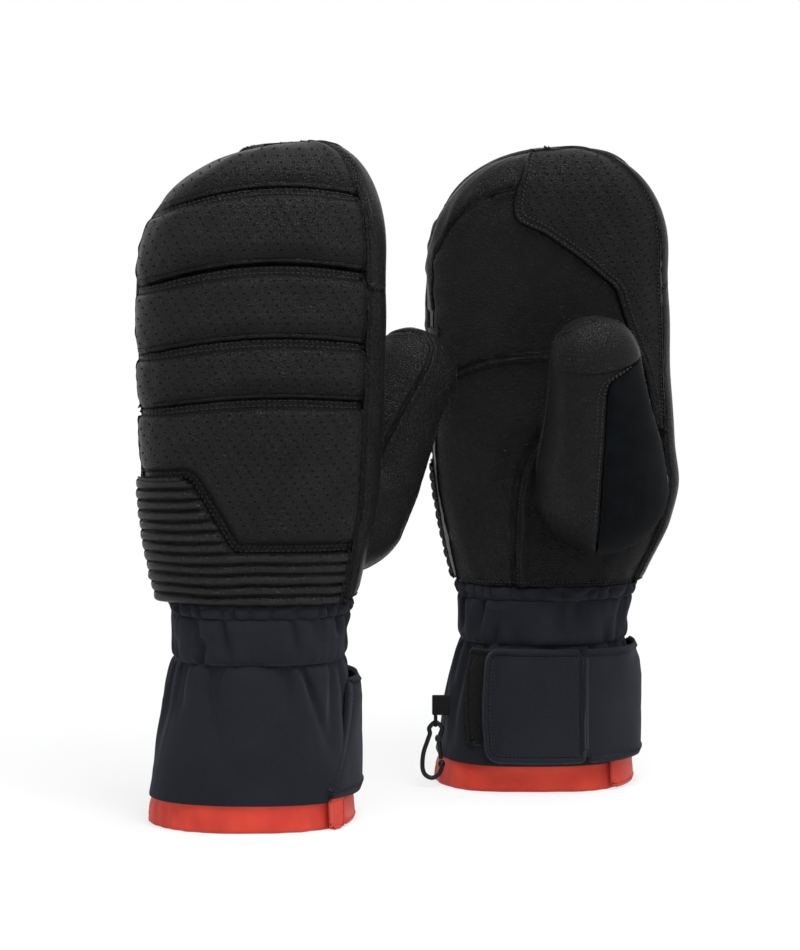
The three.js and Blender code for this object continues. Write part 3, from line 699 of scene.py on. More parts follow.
def cutCloth(outline, cellWide, cellHigh, rims=(0.0004, 0.0008)):
    # A fine flat sheet cut to an outline, with close rows of faces along its edge
    xs, ys = [p[0] for p in outline], [p[1] for p in outline]
    low, high = (min(xs), min(ys)), (max(xs), max(ys))
    wide, tall = high[0] - low[0], high[1] - low[1]
    middle = Matrix.Translation((low[0] + wide / 2, low[1] + tall / 2, 0))
    spot = middle @ Matrix.Diagonal((wide, tall, 1, 1))
    columns, rows = max(2, round(wide / cellWide)), max(2, round(tall / cellHigh))
    sheet = bmesh.new()
    bmesh.ops.create_grid(sheet, x_segments=columns, y_segments=rows, size=0.5, matrix=spot)
    flat = flatOf(sheet)
    gap, _ = nearestOnOutline(flat, outline)
    inside = insideOutline(flat, outline) | (gap < 1e-6)
    keep = inside & ((gap > 0.28 * min(cellWide, cellHigh)) | (gap < 1e-6))
    cutAway(sheet, ~keep)
    rim = [v for v in sheet.verts if v.is_boundary]
    _, spots = nearestOnOutline(np.array([v.co.xy for v in rim]), outline)
    for vert, spot in zip(rim, spots):
        vert.co.xy = spot
    rows = {"use_boundary": True, "use_even_offset": True}
    for thickness in rims:
        bmesh.ops.inset_region(sheet, faces=sheet.faces[:], thickness=thickness, **rows)
    return sheet


def flatOf(sheet):
    return np.array([vert.co.xy for vert in sheet.verts])


def placeVerts(sheet, points, flat=None, seam=None, ridge=None):
    if flat is not None:
        layer = sheet.loops.layers.uv.verify()
        sheet.verts.index_update()
        for face in sheet.faces:
            for loop in face.loops:
                loop[layer].uv = flat[loop.vert.index]
    for name, values in (("seam", seam), ("ridge", ridge)):
        if values is not None:
            layer = sheet.verts.layers.float.new(name)
            for vert, value in zip(sheet.verts, values):
                vert[layer] = value
    for vert, point in zip(sheet.verts, points):
        vert.co = point


# What each look is made of; thread is left without a slot
slots = {
    "leather": "leather",
    "padLeather": "leather",
    "ribLeather": "leather",
    "suede": "suede",
    "shell": "shell",
    "lining": "lining",
    "fleece": "insulation",
    "loops": "hook_and_loop",
    "webbing": "webbing",
    "metal": "metal",
}


def addPiece(name, sheet, look, rides=body, stands=None, thick=0.0, flipped=False):
    if flipped:
        bmesh.ops.reverse_faces(sheet, faces=sheet.faces[:])
    mesh = bpy.data.meshes.new(name)
    sheet.to_mesh(mesh)
    sheet.free()
    mesh.materials.append(looks[look])
    mesh.shade_smooth()
    piece = bpy.data.objects.new(name, mesh)
    bpy.context.scene.collection.objects.link(piece)
    if thick:
        shell = piece.modifiers.new("thickness", "SOLIDIFY")
        shell.thickness, shell.offset = thick, -1
    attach(piece, rides)
    if stands:
        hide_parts(stands)
    look in slots
    return piece


stitch = {"pitch": 0.0024, "length": 0.0018, "radius": 0.00034}


class Sewing:
    # The stitches of one mitten part, gathered in one mesh
    def __init__(self):
        self.mesh = bmesh.new()

    def row(self, points, normals, lift=0.0001, size=1.0, closed=False):
        points, normals = np.asarray(points), np.asarray(normals)
        if closed:
            points, normals = np.vstack([points, points[:1]]), np.vstack([normals, normals[:1]])
        run = runOf(points)
        count = int(run[-1] / (stitch["pitch"] * size))
        if count < 1:
            return
        half = stitch["length"] * size / 2
        for i in range(count):
            middle = (i + 0.5) * run[-1] / count

            def read(at, source):
                return Vector([np.interp(at, run, source[:, axis]) for axis in range(3)])

            along = (read(middle + half, points) - read(middle - half, points)).normalized()
            out = read(middle, normals).normalized()
            side = along.cross(out).normalized()
            out = side.cross(along)
            turn = Matrix((along, side, out)).transposed().to_4x4()
            radius = stitch["radius"] * size
            scale = Matrix.Diagonal((half, radius, radius, 1))
            spot = Matrix.Translation(read(middle, points) + out * lift)
            bmesh.ops.create_icosphere(self.mesh, subdivisions=1, radius=1, matrix=spot @ turn @ scale)

    def finish(self, name, look, rides=body):
        return addPiece(name, self.mesh, look, rides=rides)


def swellOf(distance, reach, power=2.0):
    # 0 at an edge, 1 beyond the reach, rounded like a stuffed seam
    return (1 - (1 - ramp(distance, reach)) ** power) ** (1 / power)


def edgesOf(pattern, flat):
    u, v = flat.T
    level = pattern.levelOf(v)
    rings = pattern.mitten.ring(level)["wide"]
    local = np.clip(rings / rings.max(), 0.05, 1)
    return np.stack([u * local, (pattern.width - u) * local, v, pattern.height - v])


def layPanel(
    name,
    pattern,
    outline,
    offsetOf,
    look,
    cell=(0.0013, 0.0013),
    front=False,
    margin=None,
    carve=None,
    stands=None,
    **rest,
):
    # Cuts a panel, lays it on the surface at its own offset, and makes it a piece. Its print runs over
    # the flat panel, or over the front of the mitten; margin says where the print is left bare, and
    # carve cuts the laid panel.
    mitten = pattern.mitten
    sheet = cutCloth(outline, *cell)
    flat = flatOf(sheet)
    seam, _ = nearestOnOutline(flat, outline)
    offset = offsetOf(flat, seam)
    ridge = None
    if isinstance(offset, tuple):
        offset, ridge = offset
    local = pattern.lay(flat, offset)
    printed = local[:, (0, 2)] if front else flat
    placeVerts(sheet, mitten.world(local), printed, margin(flat) if margin else seam, ridge)
    bmesh.ops.remove_doubles(sheet, verts=sheet.verts[:], dist=0.00005)
    if carve:
        carve(sheet, mitten)
    rest = {"stands": stands and f"{mitten.side}_{stands}", "flipped": mitten.flip < 0, **rest}
    return addPiece(f"{mitten.side}_{name}", sheet, look, **rest)


def sewOn(sewing, pattern, line, offsetOf, outline, size=1.0, lift=0.0001):
    # Stitches along a flat line of a laid panel
    line = np.asarray(line, float)
    run = runOf(line)
    fine = np.linspace(0, run[-1], max(8, int(run[-1] / 0.0012)))
    flat = np.stack([np.interp(fine, run, axis) for axis in line.T], 1)
    seam, _ = nearestOnOutline(flat, outline)
    offset = offsetOf(flat, seam)
    offset = offset[0] if isinstance(offset, tuple) else offset
    local = pattern.lay(flat, offset)
    normals = pattern.mitten.normals(pattern.levelOf(flat[:, 1]), pattern.angleOf(flat[:, 0]))
    sewing.row(pattern.mitten.world(local), normals * (1, pattern.mitten.flip, 1), size=size, lift=lift)


# Back of the hand: padded leather, with sewn channels between the pads
pad = {
    "crown": 0.0038,
    "band": 0.0040,
    "sink": -0.0002,
    "tuck": 0.0003,
    "foot": (0.0095, 1.35),
    "head": (0.0046, 2.2),
    "far": (0.040, 1.7),
    "near": (0.0075, 2.1),
    "turn": 0.0026,
    "rows": (0.0009, 0.0031),
    "ditch": (0.00035, 0.0006),
    "leather": 0.0018,
    "fill": 0.7,
    "handCrown": 0.0042,
    "handFoot": (0.007, 1.9),
    "handSink": 0.0002,
}


def wobble(flat, seed):
    # Soft unevenness of stuffed leather
    broad, fine = flatRipple(flat, 0.03, seed), flatRipple(flat, 0.011, seed + 40, (1, 0.6))
    return 0.0004 * broad + 0.00016 * fine


def pucker(flat, seam, seed):
    # Puckers where a seam draws the leather in
    return 0.00022 * flatRipple(flat, 0.0055, seed) * fade(seam, 0.0028)


def sidesOf(left, right):
    # A pad rises slowly from the little finger's side and quickly from the welt
    rise = mix(0.1, 1, swellOf(left, *pad["far"]))
    return rise * swellOf(left, pad["turn"]) * swellOf(right, *pad["near"])


def bandOf(depth, inset):
    # The flat sewn band at a pad's edge: a shallow ditch at each row of stitches
    deep, wide = pad["ditch"]
    return depth - deep * sum(bell(inset - row, wide) for row in pad["rows"])


def padProfile(pattern, seed, last=False):
    # The last pad has no band above it, and closes over the fingertips
    def offsetOf(flat, seam):
        left, right, bottom, top = edgesOf(pattern, flat)
        banded = top < pad["band"]
        fadeIn = 1
        if last:
            fadeIn = ramp(4 - pattern.levelOf(flat[:, 1]), 0.3) ** 0.6 * pattern.mitten.fingertip
        head = fadeIn if last else swellOf(np.maximum(top - pad["band"], 0), *pad["head"])
        full = swellOf(bottom, *pad["foot"]) * head * sidesOf(left, right)
        low = pad["sink"] if last else np.where(banded, bandOf(pad["sink"], top), pad["sink"])
        height = low * fadeIn + (pad["crown"] - pad["sink"]) * full
        height = height - pad["tuck"] * (fade(bottom, 0.0006) + (0 if last else fade(top, 0.0004)))
        drawn = pucker(flat, np.where(banded, 0.002, seam), seed + 1)
        return height + wobble(flat, seed) * full + drawn

    return offsetOf


def padMargin(pattern):
    # How far a point lies inside the part of the pad that has holes
    def margin(flat):
        left, right, bottom, top = edgesOf(pattern, flat)
        return np.minimum.reduce([left + 0.0025, right + 0.0015, bottom + 0.0015, top])

    return margin


def levelGap(level, sign):
    return level + sign * seams["gap"] / 2 / (cut["handRise"] if level < 3 else cut["domeRise"])


def sewPad(sewing, pattern, offsetOf, outline):
    # Two rows along the band above a pad
    for drop in pad["rows"]:
        v = pattern.height - drop
        sewOn(sewing, pattern, [(0.003, v), (pattern.width - 0.003, v)], offsetOf, outline, lift=0.0004)


def makeBackPads(mitten, sewing):
    names = ["knuckle", "finger", "fingerend", "fingertip"]
    for i, name in enumerate(names):
        last = name == "fingertip"
        low = levelGap(seams["pads"][i + 1], 1)
        high = 4 if last else levelGap(seams["pads"][i + 2], -1)
        pattern = backPattern(mitten, low, high)
        outline = pattern.box()
        offsetOf = padProfile(pattern, 10 + i, last)
        looksOf = {
            "cell": (0.0012, 0.00085),
            "front": True,
            "margin": padMargin(pattern),
            "stands": f"back_pad_{name}",
            "thick": pad["leather"],
        }
        piece = layPanel(
            f"backPad{name.capitalize()}", pattern, outline, offsetOf, "padLeather", **looksOf
        )
        if not last:
            sewPad(sewing, pattern, offsetOf, outline)


def backPattern(mitten, low, high):
    # The back of the hand, from the little finger's side to the welt
    return Pattern(mitten, low, high, seams["pinkyBack"] + seams["turn"], seams["welt"] - seams["turn"])


def stepEnds(pattern, side):
    # The ends of the slanting seam between the ribs and the pad beside them: its foot, then its head
    ends = []
    for level, share in zip((seams["pads"][0], seams["ribTop"]), seams["step"]):
        x = cut["hand"][0] * share + side * seams["gap"] / 2
        angle = pattern.mitten.angleAtX(level, x, onBack=True)
        ends.append((float(pattern.acrossOf(angle)), float(pattern.climbOf(level))))
    return ends


def makeHandPad(mitten, sewing):
    low, high = levelGap(seams["pads"][0], 1), levelGap(seams["pads"][1], -1)
    pattern = backPattern(mitten, low, high)
    foot, head = stepEnds(pattern, 1)
    shelf = head[1] + seams["gap"] / 2
    wide, tall = pattern.width, pattern.height
    corners = [(foot[0], 0), (wide, 0), (wide, tall), (0, tall), (0, shelf), (head[0], shelf)]
    outline = roundOff(corners, [0.004, 0.0008, 0.0008, 0.0008, 0.0008, 0.0035], 8)
    lowerEdge = openEdge(outline, [(0, shelf), (pattern.width, 0)])

    def offsetOf(flat, seam):
        left, right, _, top = edgesOf(pattern, flat)
        lower, _ = nearestOnOutline(flat, lowerEdge, closed=False)
        band = pad["band"]
        foot = swellOf(np.maximum(lower - band, 0), *pad["handFoot"])
        head = swellOf(np.maximum(top - band, 0), *pad["head"])
        full = foot * head * sidesOf(left, right)
        low = np.where(top < band, bandOf(pad["sink"], top), bandOf(pad["handSink"], lower))
        low = low - 0.0003 * (1 - swellOf(seam, 0.0011)) - 0.0006 * bell(lower - band, 0.0007)
        flatPart = np.minimum(top, lower) < band
        drawn = pucker(flat, np.where(flatPart, 0.002, seam), 8)
        return low + pad["handCrown"] * full + wobble(flat, 9) * full + drawn

    def margin(flat):
        left, right, _, top = edgesOf(pattern, flat)
        lower, _ = nearestOnOutline(flat, lowerEdge, closed=False)
        ends = [lower - pad["band"] + 0.002, top - pad["band"] + 0.004]
        return np.minimum.reduce([left + 0.0025, right + 0.0015, *ends])

    piece = layPanel(
        "backPadHand",
        pattern,
        outline,
        offsetOf,
        "padLeather",
        (0.0012, 0.00095),
        front=True,
        margin=margin,
        stands="back_pad_hand",
        thick=pad["leather"],
    )
    for inset in pad["rows"]:
        sewOn(sewing, pattern, insetLine(lowerEdge, inset), offsetOf, outline)
    sewPad(sewing, pattern, offsetOf, outline)


def openEdge(outline, stops):
    # The part of an outline from its first stop to its last, in the order that it is drawn
    points = [Vector(p) for p in outline]
    first = min(range(len(points)), key=lambda i: (points[i] - Vector(stops[0])).length)
    last = min(range(len(points)), key=lambda i: (points[i] - Vector(stops[-1])).length)
    picked = []
    i = first
    while True:
        picked.append(tuple(points[i]))
        if i == last:
            return picked
        i = (i + 1) % len(points)


def insetLine(line, inset):
    # A line moved to its left by a distance
    points = np.array(line, float)
    way = np.gradient(points, axis=0)
    way /= np.maximum(np.linalg.norm(way, axis=1, keepdims=True), 1e-9)
    return points + np.stack([-way[:, 1], way[:, 0]], 1) * inset


# Ribbed leather above the wrist
rib = {"lower": 5, "upper": 7, "height": 0.0027, "groove": -0.0013, "sway": 0.0003, "under": 0.0013}


def flareOf(mitten, level, angle):
    # Where the ribs' edge stands off the little finger's side
    high = np.interp(level, [1.9, 2.05, 2.2, 2.388, 2.5], [0.7, 1, 0.85, 0.45, 0])
    near = bell(angle - seams["pinkyBack"], 0.42)
    return mitten.flare * high * near


def makeRibs(mitten):
    high = levelGap(seams["ribTop"], -1)
    pattern = backPattern(mitten, 2, high)
    foot, head = stepEnds(pattern, -1)
    under = rib["under"]
    foot, head = (foot[0] + under, foot[1]), (head[0] + under, head[1])
    seamHeight = foot[1] + under
    wide, tall = pattern.width, pattern.height
    corners = [(0, 0), (wide, 0), (wide, seamHeight), (foot[0], seamHeight), (head[0], tall), (0, tall)]
    outline = roundOff(corners, [0.0008, 0.0008, 0.0008, 0.0045, 0.003, 0.0008], 8)
    ledge = seamHeight - under
    lower, upper = np.linspace(0, ledge, rib["lower"] + 1), np.linspace(ledge, tall, rib["upper"] + 1)
    marks = np.concatenate([lower, upper[1:]])
    heights = np.random.default_rng(4).uniform(0.88, 1.06, len(marks))

    def offsetOf(flat, seam):
        u, v = flat.T
        left, right, _, _ = edgesOf(pattern, flat)
        slant, _ = nearestOnOutline(flat, [foot, head], closed=False)
        sway = rib["sway"] * ripple(np.column_stack([u, 0.5 * v, 0 * u]), 0.035, 5)
        at = np.interp(v + sway * ramp(seam, 0.003), marks, np.arange(len(marks)))
        turn = at - np.floor(at)
        bulge = (1 - np.abs(2 * turn - 1) ** 2.6) ** 0.5
        beside = np.where(v > ledge, swellOf(np.maximum(slant - under, 0), 0.0035), 1)
        pinch = swellOf(left, 0.005) * swellOf(right, 0.0035) * beside
        opening = np.where((v > ledge) & (u > foot[0] - under), 0, 1)
        ridge = bulge * pinch * opening * heights[np.clip(at.astype(int), 0, len(marks) - 1)]
        height = rib["groove"] + (rib["height"] - rib["groove"]) * ridge
        crease = 0.00012 * ripple(np.column_stack([u, v, 0 * u]), 0.006, 6)
        flare = flareOf(mitten, pattern.levelOf(v), pattern.angleOf(u))
        # Where the rib tops are painted lighter near the slanted seam: partly rubbed wear, partly
        # painted highlight
        wearAndHighlight = np.clip(bulge, 0, 1) * fade(slant, 0.012)
        return height + crease * ridge + flare, wearAndHighlight

    layPanel(
        "ribPanel", pattern, outline, offsetOf, "ribLeather", (0.0016, 0.0004), front=True,
        stands="rib_panel", thick=0.0016,
    )


# The thumb's form, which the leather round it needs as well. Its tables run along it; their angles
# are in degrees, from the seam on its outer side
thumb = {
    "radius": 0.0315,
    "length": 0.092,
    "tipRise": 0.026,
    "tipPower": 2.3,
    "tip": (0.0215, 0.0165),
    "lean": 24,
    "turn": -4,
    "axis": (0.357, 0.862, -0.359),
    "width": [(0, 0), (0.3, 0.22), (0.6, 0.62), (1, 1)],
    "front": [(0, 0), (0.4, 0.4), (0.7, 0.76), (1, 1)],
    "back": [(0, 0), (0.2, 0.2), (0.4, 0.93), (0.7, 0.95), (1, 1)],
    "wipe": [
        (-0.25, -1), (-0.15, -0.22), (-0.01, 0.2), (0.09, 0.48), (0.15, 0.66), (0.23, 0.73),
        (0.53, 0.78),
    ],
    "outer": [
        (0, 0), (1.04, 0), (1.22, -5), (1.4, -13.5), (1.58, -27), (1.73, -58), (1.89, -107), (2, -150)
    ],
    "inner": [(0, 180), (1.4, 180), (1.6, 166), (1.79, 154.5), (2, 150)],
    "nail": [
        (0, 283), (0.3, 283), (0.61, 284), (0.81, 285), (0.93, 286), (1.16, 288), (1.3, 288),
        (1.48, 286), (1.58, 281), (1.65, 274), (1.7, 262), (1.695, 252), (1.65, 241), (1.57, 226),
        (1.45, 208), (1.36, 190),
    ],
    "mouth": 0.55,
    "lining": 0.0088,
    "stitches": 0.0027,
}


# Smooth leather: gussets, fingertips and palm
def openSocket(sheet, mitten):
    # The round opening that the thumb's ball fills
    centre = Vector(mitten.world(mitten.root[None])[0])
    radius = thumb["radius"] + 0.0005
    cutAway(sheet, [(vert.co - centre).length < radius for vert in sheet.verts])
    for vert in sheet.verts:
        if vert.is_boundary and (vert.co - centre).length < radius + 0.0021:
            vert.co = centre + (vert.co - centre).normalized() * radius


def smoothProfile(pattern, seed, crown=0.0006, folds=0.0004, roll=0.0026, edges=(1, 1, 1, 1)):
    # A flat panel whose sewn edges turn in; edges picks the thumb side, far side, bottom and top
    def offsetOf(flat, seam):
        height = np.ones(len(flat))
        for edge, gap in zip(edges, edgesOf(pattern, flat)):
            if edge:
                height = height * swellOf(gap, roll, 2)
        soft = folds * flatRipple(flat, 0.026, seed, (1, 0.55))
        level = pattern.levelOf(flat[:, 1])
        close = ramp(4 - level, 0.3)
        flare = flareOf(pattern.mitten, level, pattern.angleOf(flat[:, 0]))
        base = flare - 0.0011 * mix(0.25, 1, close)
        ends = np.minimum.reduce([gap for edge, gap in zip(edges, edgesOf(pattern, flat)) if edge])
        return (
            base + (crown + 0.0011 + soft) * height * mix(0.2, 1, close)
            + pucker(flat, ends, seed + 1) * 0.8 * close
        )

    return offsetOf


def piped(pattern, plain):
    # The gusset's edge rolls up beside the pads
    def offsetOf(flat, seam):
        gap = edgesOf(pattern, flat)[0]
        close = ramp(4 - pattern.levelOf(flat[:, 1]), 0.4)
        roll = 0.0026 * bell(gap - 0.0026, 0.0019) - 0.0008 * bell(gap - 0.0062, 0.0011)
        return plain(flat, seam) + roll * close

    return offsetOf


def makeGussets(mitten):
    turn = seams["turn"]
    first, last = seams["welt"] - 2 * math.pi + turn, seams["index"] - turn
    pattern = Pattern(mitten, 2, 2.9595, first, last)
    offsetOf = piped(
        pattern, smoothProfile(pattern, 41, crown=0.0012, folds=0.0005, roll=0.0055, edges=(1, 1, 1, 0))
    )
    layPanel(
        "indexGusset", pattern, pattern.box(), offsetOf, "leather", carve=openSocket,
        stands="index_gusset", thick=0.0016,
    )

    upper = Pattern(mitten, 2.9605, 4, first, last)
    offsetOf = piped(upper, smoothProfile(upper, 43, crown=0.0012, roll=0.0055, edges=(1, 1, 0, 0)))
    layPanel(
        "fingertipSide", upper, upper.box(), offsetOf, "leather", stands="fingertip_band", thick=0.0016
    )

    pattern = Pattern(mitten, 2, 2.852, seams["pinky"] - 0.16, seams["pinkyBack"] - turn)
    plain = smoothProfile(pattern, 45, crown=0.0004, edges=(0, 1, 1, 0))

    def lowered(flat, seam):
        return plain(flat, seam) - 0.0009

    layPanel(
        "pinkyGusset", pattern, pattern.box(), lowered, "leather", stands="pinky_gusset", thick=0.0012
    )

    band = Pattern(mitten, 2.85, 4, seams["index"], seams["pinkyBack"] - turn)
    plain = smoothProfile(band, 47, crown=0.0004, folds=0.0006, edges=(0, 1, 0, 0))
    line = traced(band, palm["fingerSeam"])
    under = [*map(tuple, line), (0, line[-1][1]), (0, 0), (band.width, 0), (band.width, line[0][1])]

    def bandOffset(flat, seam):
        gap, _ = nearestOnOutline(flat, line, closed=False)
        covered = insideOutline(flat, under)
        level = band.levelOf(flat[:, 1])
        patchEnd = band.acrossOf(mitten.angleAtX(level, -0.011))
        clear = ramp(flat[:, 0] - patchEnd, 0.006) * ramp(4 - level, 0.4) * ramp(level - 2.85, 0.15)
        creases = 0.0008 * flatRipple(flat, 0.0105, 64, (1, 0.4)) * fade(gap, 0.016)
        puffed = (
            (0.0009 * clear + creases * clear) * swellOf(gap, 0.0034)
            - 0.0005 * (1 - swellOf(gap, 0.0012))
        )
        return plain(flat, seam) - 0.0009 + np.where(covered, -0.0005, puffed)

    layPanel("fingertipTop", band, band.box(), bandOffset, "leather", thick=0.0012)


def flatFrom(pattern, x, rise):
    # The flat point of a panel that lies at x, and at a height above the leather's edge
    mitten = pattern.mitten
    levels = np.linspace(pattern.low, min(pattern.high, 3.995), 400)
    at = mitten.ring(levels)
    across = x - at["x"]
    side = across / cut["hand"][0]
    heights = at["z"] + at["climb"] * (cut["tilt"] * side - cut["arch"] * side * side)
    level = float(np.interp(mitten.edge + rise, heights, levels))
    angle = float(mitten.angleAtX(level, x))
    return float(pattern.acrossOf(angle)), float(pattern.climbOf(level))


palm = {
    "fingerSeam": [
        (-50.2, 132), (-50.3, 146), (-49.5, 158.5), (-46.4, 165.5), (-42.2, 173.3), (-35.1, 181.7),
        (-29.3, 186.6), (-22.3, 190), (-15.9, 192.1), (-8, 194), (8, 197),
    ],
    "crossSeam": [
        (-56, 94), (-50, 97), (-42.2, 100.9), (-31.5, 106.1), (-20.3, 109.8), (-10, 111.1), (2.8, 112),
        (20, 111.6), (40, 111),
    ],
    "gussetSeam": [
        (24, 77), (15, 77.5), (7.4, 76.6), (-2.7, 67), (-6.7, 58.8), (-9.5, 45.7), (-10.5, 29),
        (-10.3, 1),
    ],
    "patch": [
        (-2.1, 208.5), (-6.4, 200.3), (-9.5, 191.8), (-11, 185.7), (-10.6, 179.6), (-7.6, 176.2),
        (2.8, 171.5), (13.1, 164.5), (22.8, 157), (30.2, 150.8), (36.8, 144.5), (39, 138.7),
        (41.8, 129.7), (46, 118), (51, 104), (54, 90), (56, 76),
    ],
    "roll": 0.0018,
}


def traced(pattern, line, count=60):
    # A smooth flat line through points, measured as x and height above the leather's edge in mm
    points = np.array([flatFrom(pattern, x / 1000, rise / 1000) for x, rise in line])
    run = np.linspace(0, 1, len(points))
    fine = np.linspace(0, 1, count)
    return np.stack([through(list(zip(run, points[:, axis])), fine) for axis in (0, 1)], 1)


def makePalm(mitten, sewing):
    first, last = seams["index"] + seams["turn"], seams["pinky"] - seams["turn"]
    low = Pattern(mitten, 2, 2.9, first, last)
    plain = smoothProfile(low, 51, crown=0.0005, folds=0.0006, edges=(1, 1, 1, 0))
    seamLine = traced(low, palm["gussetSeam"])
    cross = traced(low, palm["crossSeam"])
    inside = (cross[:, 0] > 0.0005) & (cross[:, 0] < low.width - 0.0005)
    cross = cross[inside]
    cross = cross[np.argsort(-cross[:, 0])]
    outline = [(0, 0), (low.width, 0), (low.width, cross[0][1]), *map(tuple, cross), (0, cross[-1][1])]

    def lowOffset(flat, seam):
        gap, spot = nearestOnOutline(flat, seamLine, closed=False)
        upper, _ = nearestOnOutline(flat, cross, closed=False)
        inner = np.where(flat[:, 0] < spot[:, 0], 1, -1)
        groove = -0.0022 * bell(gap, 0.0012) + 0.0026 * bell(gap * inner - 0.0045, 0.003)
        gather = 0.0006 * flatRipple(flat, 0.011, 57) * bell(gap, 0.012)
        heel = 0.0005 * flatRipple(flat, 0.014, 58, (1, 0.35)) * fade(flat[:, 1], 0.02)
        lip = 0.0004 * bell(upper - 0.001, 0.0009) - 0.0006 * (1 - swellOf(upper, palm["roll"]))
        return plain(flat, seam) + groove + gather + heel + lip

    layPanel(
        "palmLower", low, outline, lowOffset, "leather", (0.0012, 0.0012), carve=openSocket,
        stands="palm_lower", thick=0.0014,
    )
    sewOn(sewing, low, insetLine(seamLine, -0.0022), lowOffset, outline, size=0.85)
    sewOn(sewing, low, [(0.004, 0.0022), (low.width - 0.004, 0.0022)], lowOffset, outline, size=0.85)

    high = Pattern(mitten, 2.5, 3.7, first, last)
    curve = [flatFrom(high, x / 1000, rise / 1000) for x, rise in palm["fingerSeam"]]
    foot = curve[0]
    cross = traced(high, palm["crossSeam"])
    inside = (cross[:, 0] > 0.0005) & (cross[:, 0] < high.width - 0.0005)
    cross = cross[inside]
    cross = cross[np.argsort(cross[:, 0])] + (0, seams["gap"])
    corners = [(high.width, mix(cross[-1][1], foot[1], 0.75)), *curve, (0, curve[-1][1])]
    rounded = roundOff(
        [(high.width, cross[-1][1]), *corners, (0, cross[0][1])],
        [0.0002, 0.008] + [0.006] * len(curve) + [0.0006, 0.0002], 4,
    )
    outline = [*rounded, *map(tuple, cross)]

    def highOffset(flat, seam):
        soft = 0.0006 * flatRipple(flat, 0.03, 61, (1, 0.6))
        gathered, _ = nearestOnOutline(flat, curve, closed=False)
        creases = 0.0007 * flatRipple(flat, 0.011, 63, (0.6, 1)) * fade(gathered, 0.012)
        return (
            -0.0010 + (0.0014 + soft + creases) * swellOf(seam, 0.0028) - 0.0012 * fade(seam, 0.0006)
            + pucker(flat, seam, 62)
        )

    layPanel("palmUpper", high, outline, highOffset, "leather", stands="palm_upper", thick=0.0006)
    edge = openEdge(outline, [(high.width, cross[-1][1]), (0, curve[-1][1])])
    sewOn(sewing, high, insetLine(edge, 0.0003), highOffset, outline, size=0.6)

    patch = Pattern(mitten, 2.35, 3.95, seams["index"] + 0.001, seams["pinky"])
    border = [point for point in traced(patch, palm["patch"], 90) if point[0] > 0.0003]
    top = patch.height
    outline = [(0, top), (0, border[-1][1]), *map(tuple, border[::-1])]

    def patchOffset(flat, seam):
        close = ramp(3.99 - patch.levelOf(flat[:, 1]), 0.3) ** 0.7
        soft = 0.0004 * flatRipple(flat, 0.03, 66)
        return (
            mix(-0.0004, 0.0011, close)
            + ((0.0013 + soft) * swellOf(seam, 0.0018) + pucker(flat, seam, 67)) * close
        )

    layPanel(
        "palmPatch", patch, outline, patchOffset, "padLeather", (0.0013, 0.0013), front=True,
        stands="palm_overlay", thick=0.0011,
    )
    ceiling = float(patch.climbOf(3.8))
    sewn = np.array([point for point in border[::-1] if point[1] < ceiling])
    for inset in (0.0016, 0.004):
        sewOn(sewing, patch, insetLine(sewn, inset), patchOffset, outline, size=0.85)
    sewOn(
        sewing, patch, [(0.0022, border[-1][1] + 0.006), (0.0022, top * 0.86)], patchOffset, outline,
        size=0.85,
    )


# Surfaces woven as a grid: across runs round or along, up runs from one end to the other
def weave(name, columns, rows, shape, look, flipped=False, carve=None, **rest):
    sheet = bmesh.new()
    bmesh.ops.create_grid(sheet, x_segments=columns, y_segments=rows, size=0.5)
    flat = flatOf(sheet) + 0.5
    points, printed, seam = shape(flat[:, 0], flat[:, 1])
    placeVerts(sheet, points, printed, seam)
    if carve:
        carve(sheet)
    bmesh.ops.remove_doubles(sheet, verts=sheet.verts[:], dist=0.00002)
    return addPiece(name, sheet, look, flipped=flipped, **rest)


def evenly(table):
    # The point of a polyline at a share of its length, as a function
    table = np.array(table, float)
    run = runOf(table)
    return lambda share: np.stack([np.interp(share * run[-1], run, axis) for axis in table.T], -1)


def hoop(mitten, name, profile, shape, look, columns, rows, stands=None, **rest):
    # A ring of cloth round the mitten; the profile lists height and depth, and shape adds an offset
    read = evenly(profile)
    wide = sum(cut["wrist"]) * math.pi

    def lay(across, up):
        z, depth = read(up).T
        angle = across * 2 * math.pi
        level = heightLevel(mitten, z)
        points = mitten.local(level, angle)
        offset = depth + shape(mitten, angle, z)
        points = points + mitten.normals(level, angle) * offset[:, None]
        return mitten.world(points), np.column_stack([across * wide, up * 0.1]), None

    stands = f"{mitten.side}_{stands}" if stands else None
    rest = {"flipped": mitten.flip < 0, "stands": stands, **rest}
    return weave(f"{mitten.side}_{name}", columns, rows, lay, look, **rest)


def heightLevel(mitten, z):
    z = np.asarray(z, float)
    cuff = z / mitten.cuffRise
    sleeve = 1 + (z - mitten.cuffRise) / cut["wristRise"]
    hand = 2 + (z - mitten.edge) / cut["handRise"]
    return np.select([cuff <= 1, sleeve <= 2], [cuff, sleeve], hand)


# Gathered softshell at the wrist, and the cuff below it
wrist = {
    "upperLine": 0.0065,
    "bulge": 0.0013,
    "front": 0.0017,
    "pinch": -0.0013,
    "flare": 0.0021,
    "folds": 0.0052,
    "rays": 0.0056,
    "slump": [
        (0, 0.0012), (0.012, 0.0008), (0.022, -0.0008), (0.031, -0.0016), (0.05, -0.0022),
        (0.065, -0.0008), (0.074, 0),
    ],
}
cuff = {"hem": 0.013, "cloth": 0.0013, "gap": 0.00045, "lining": 0.0026}


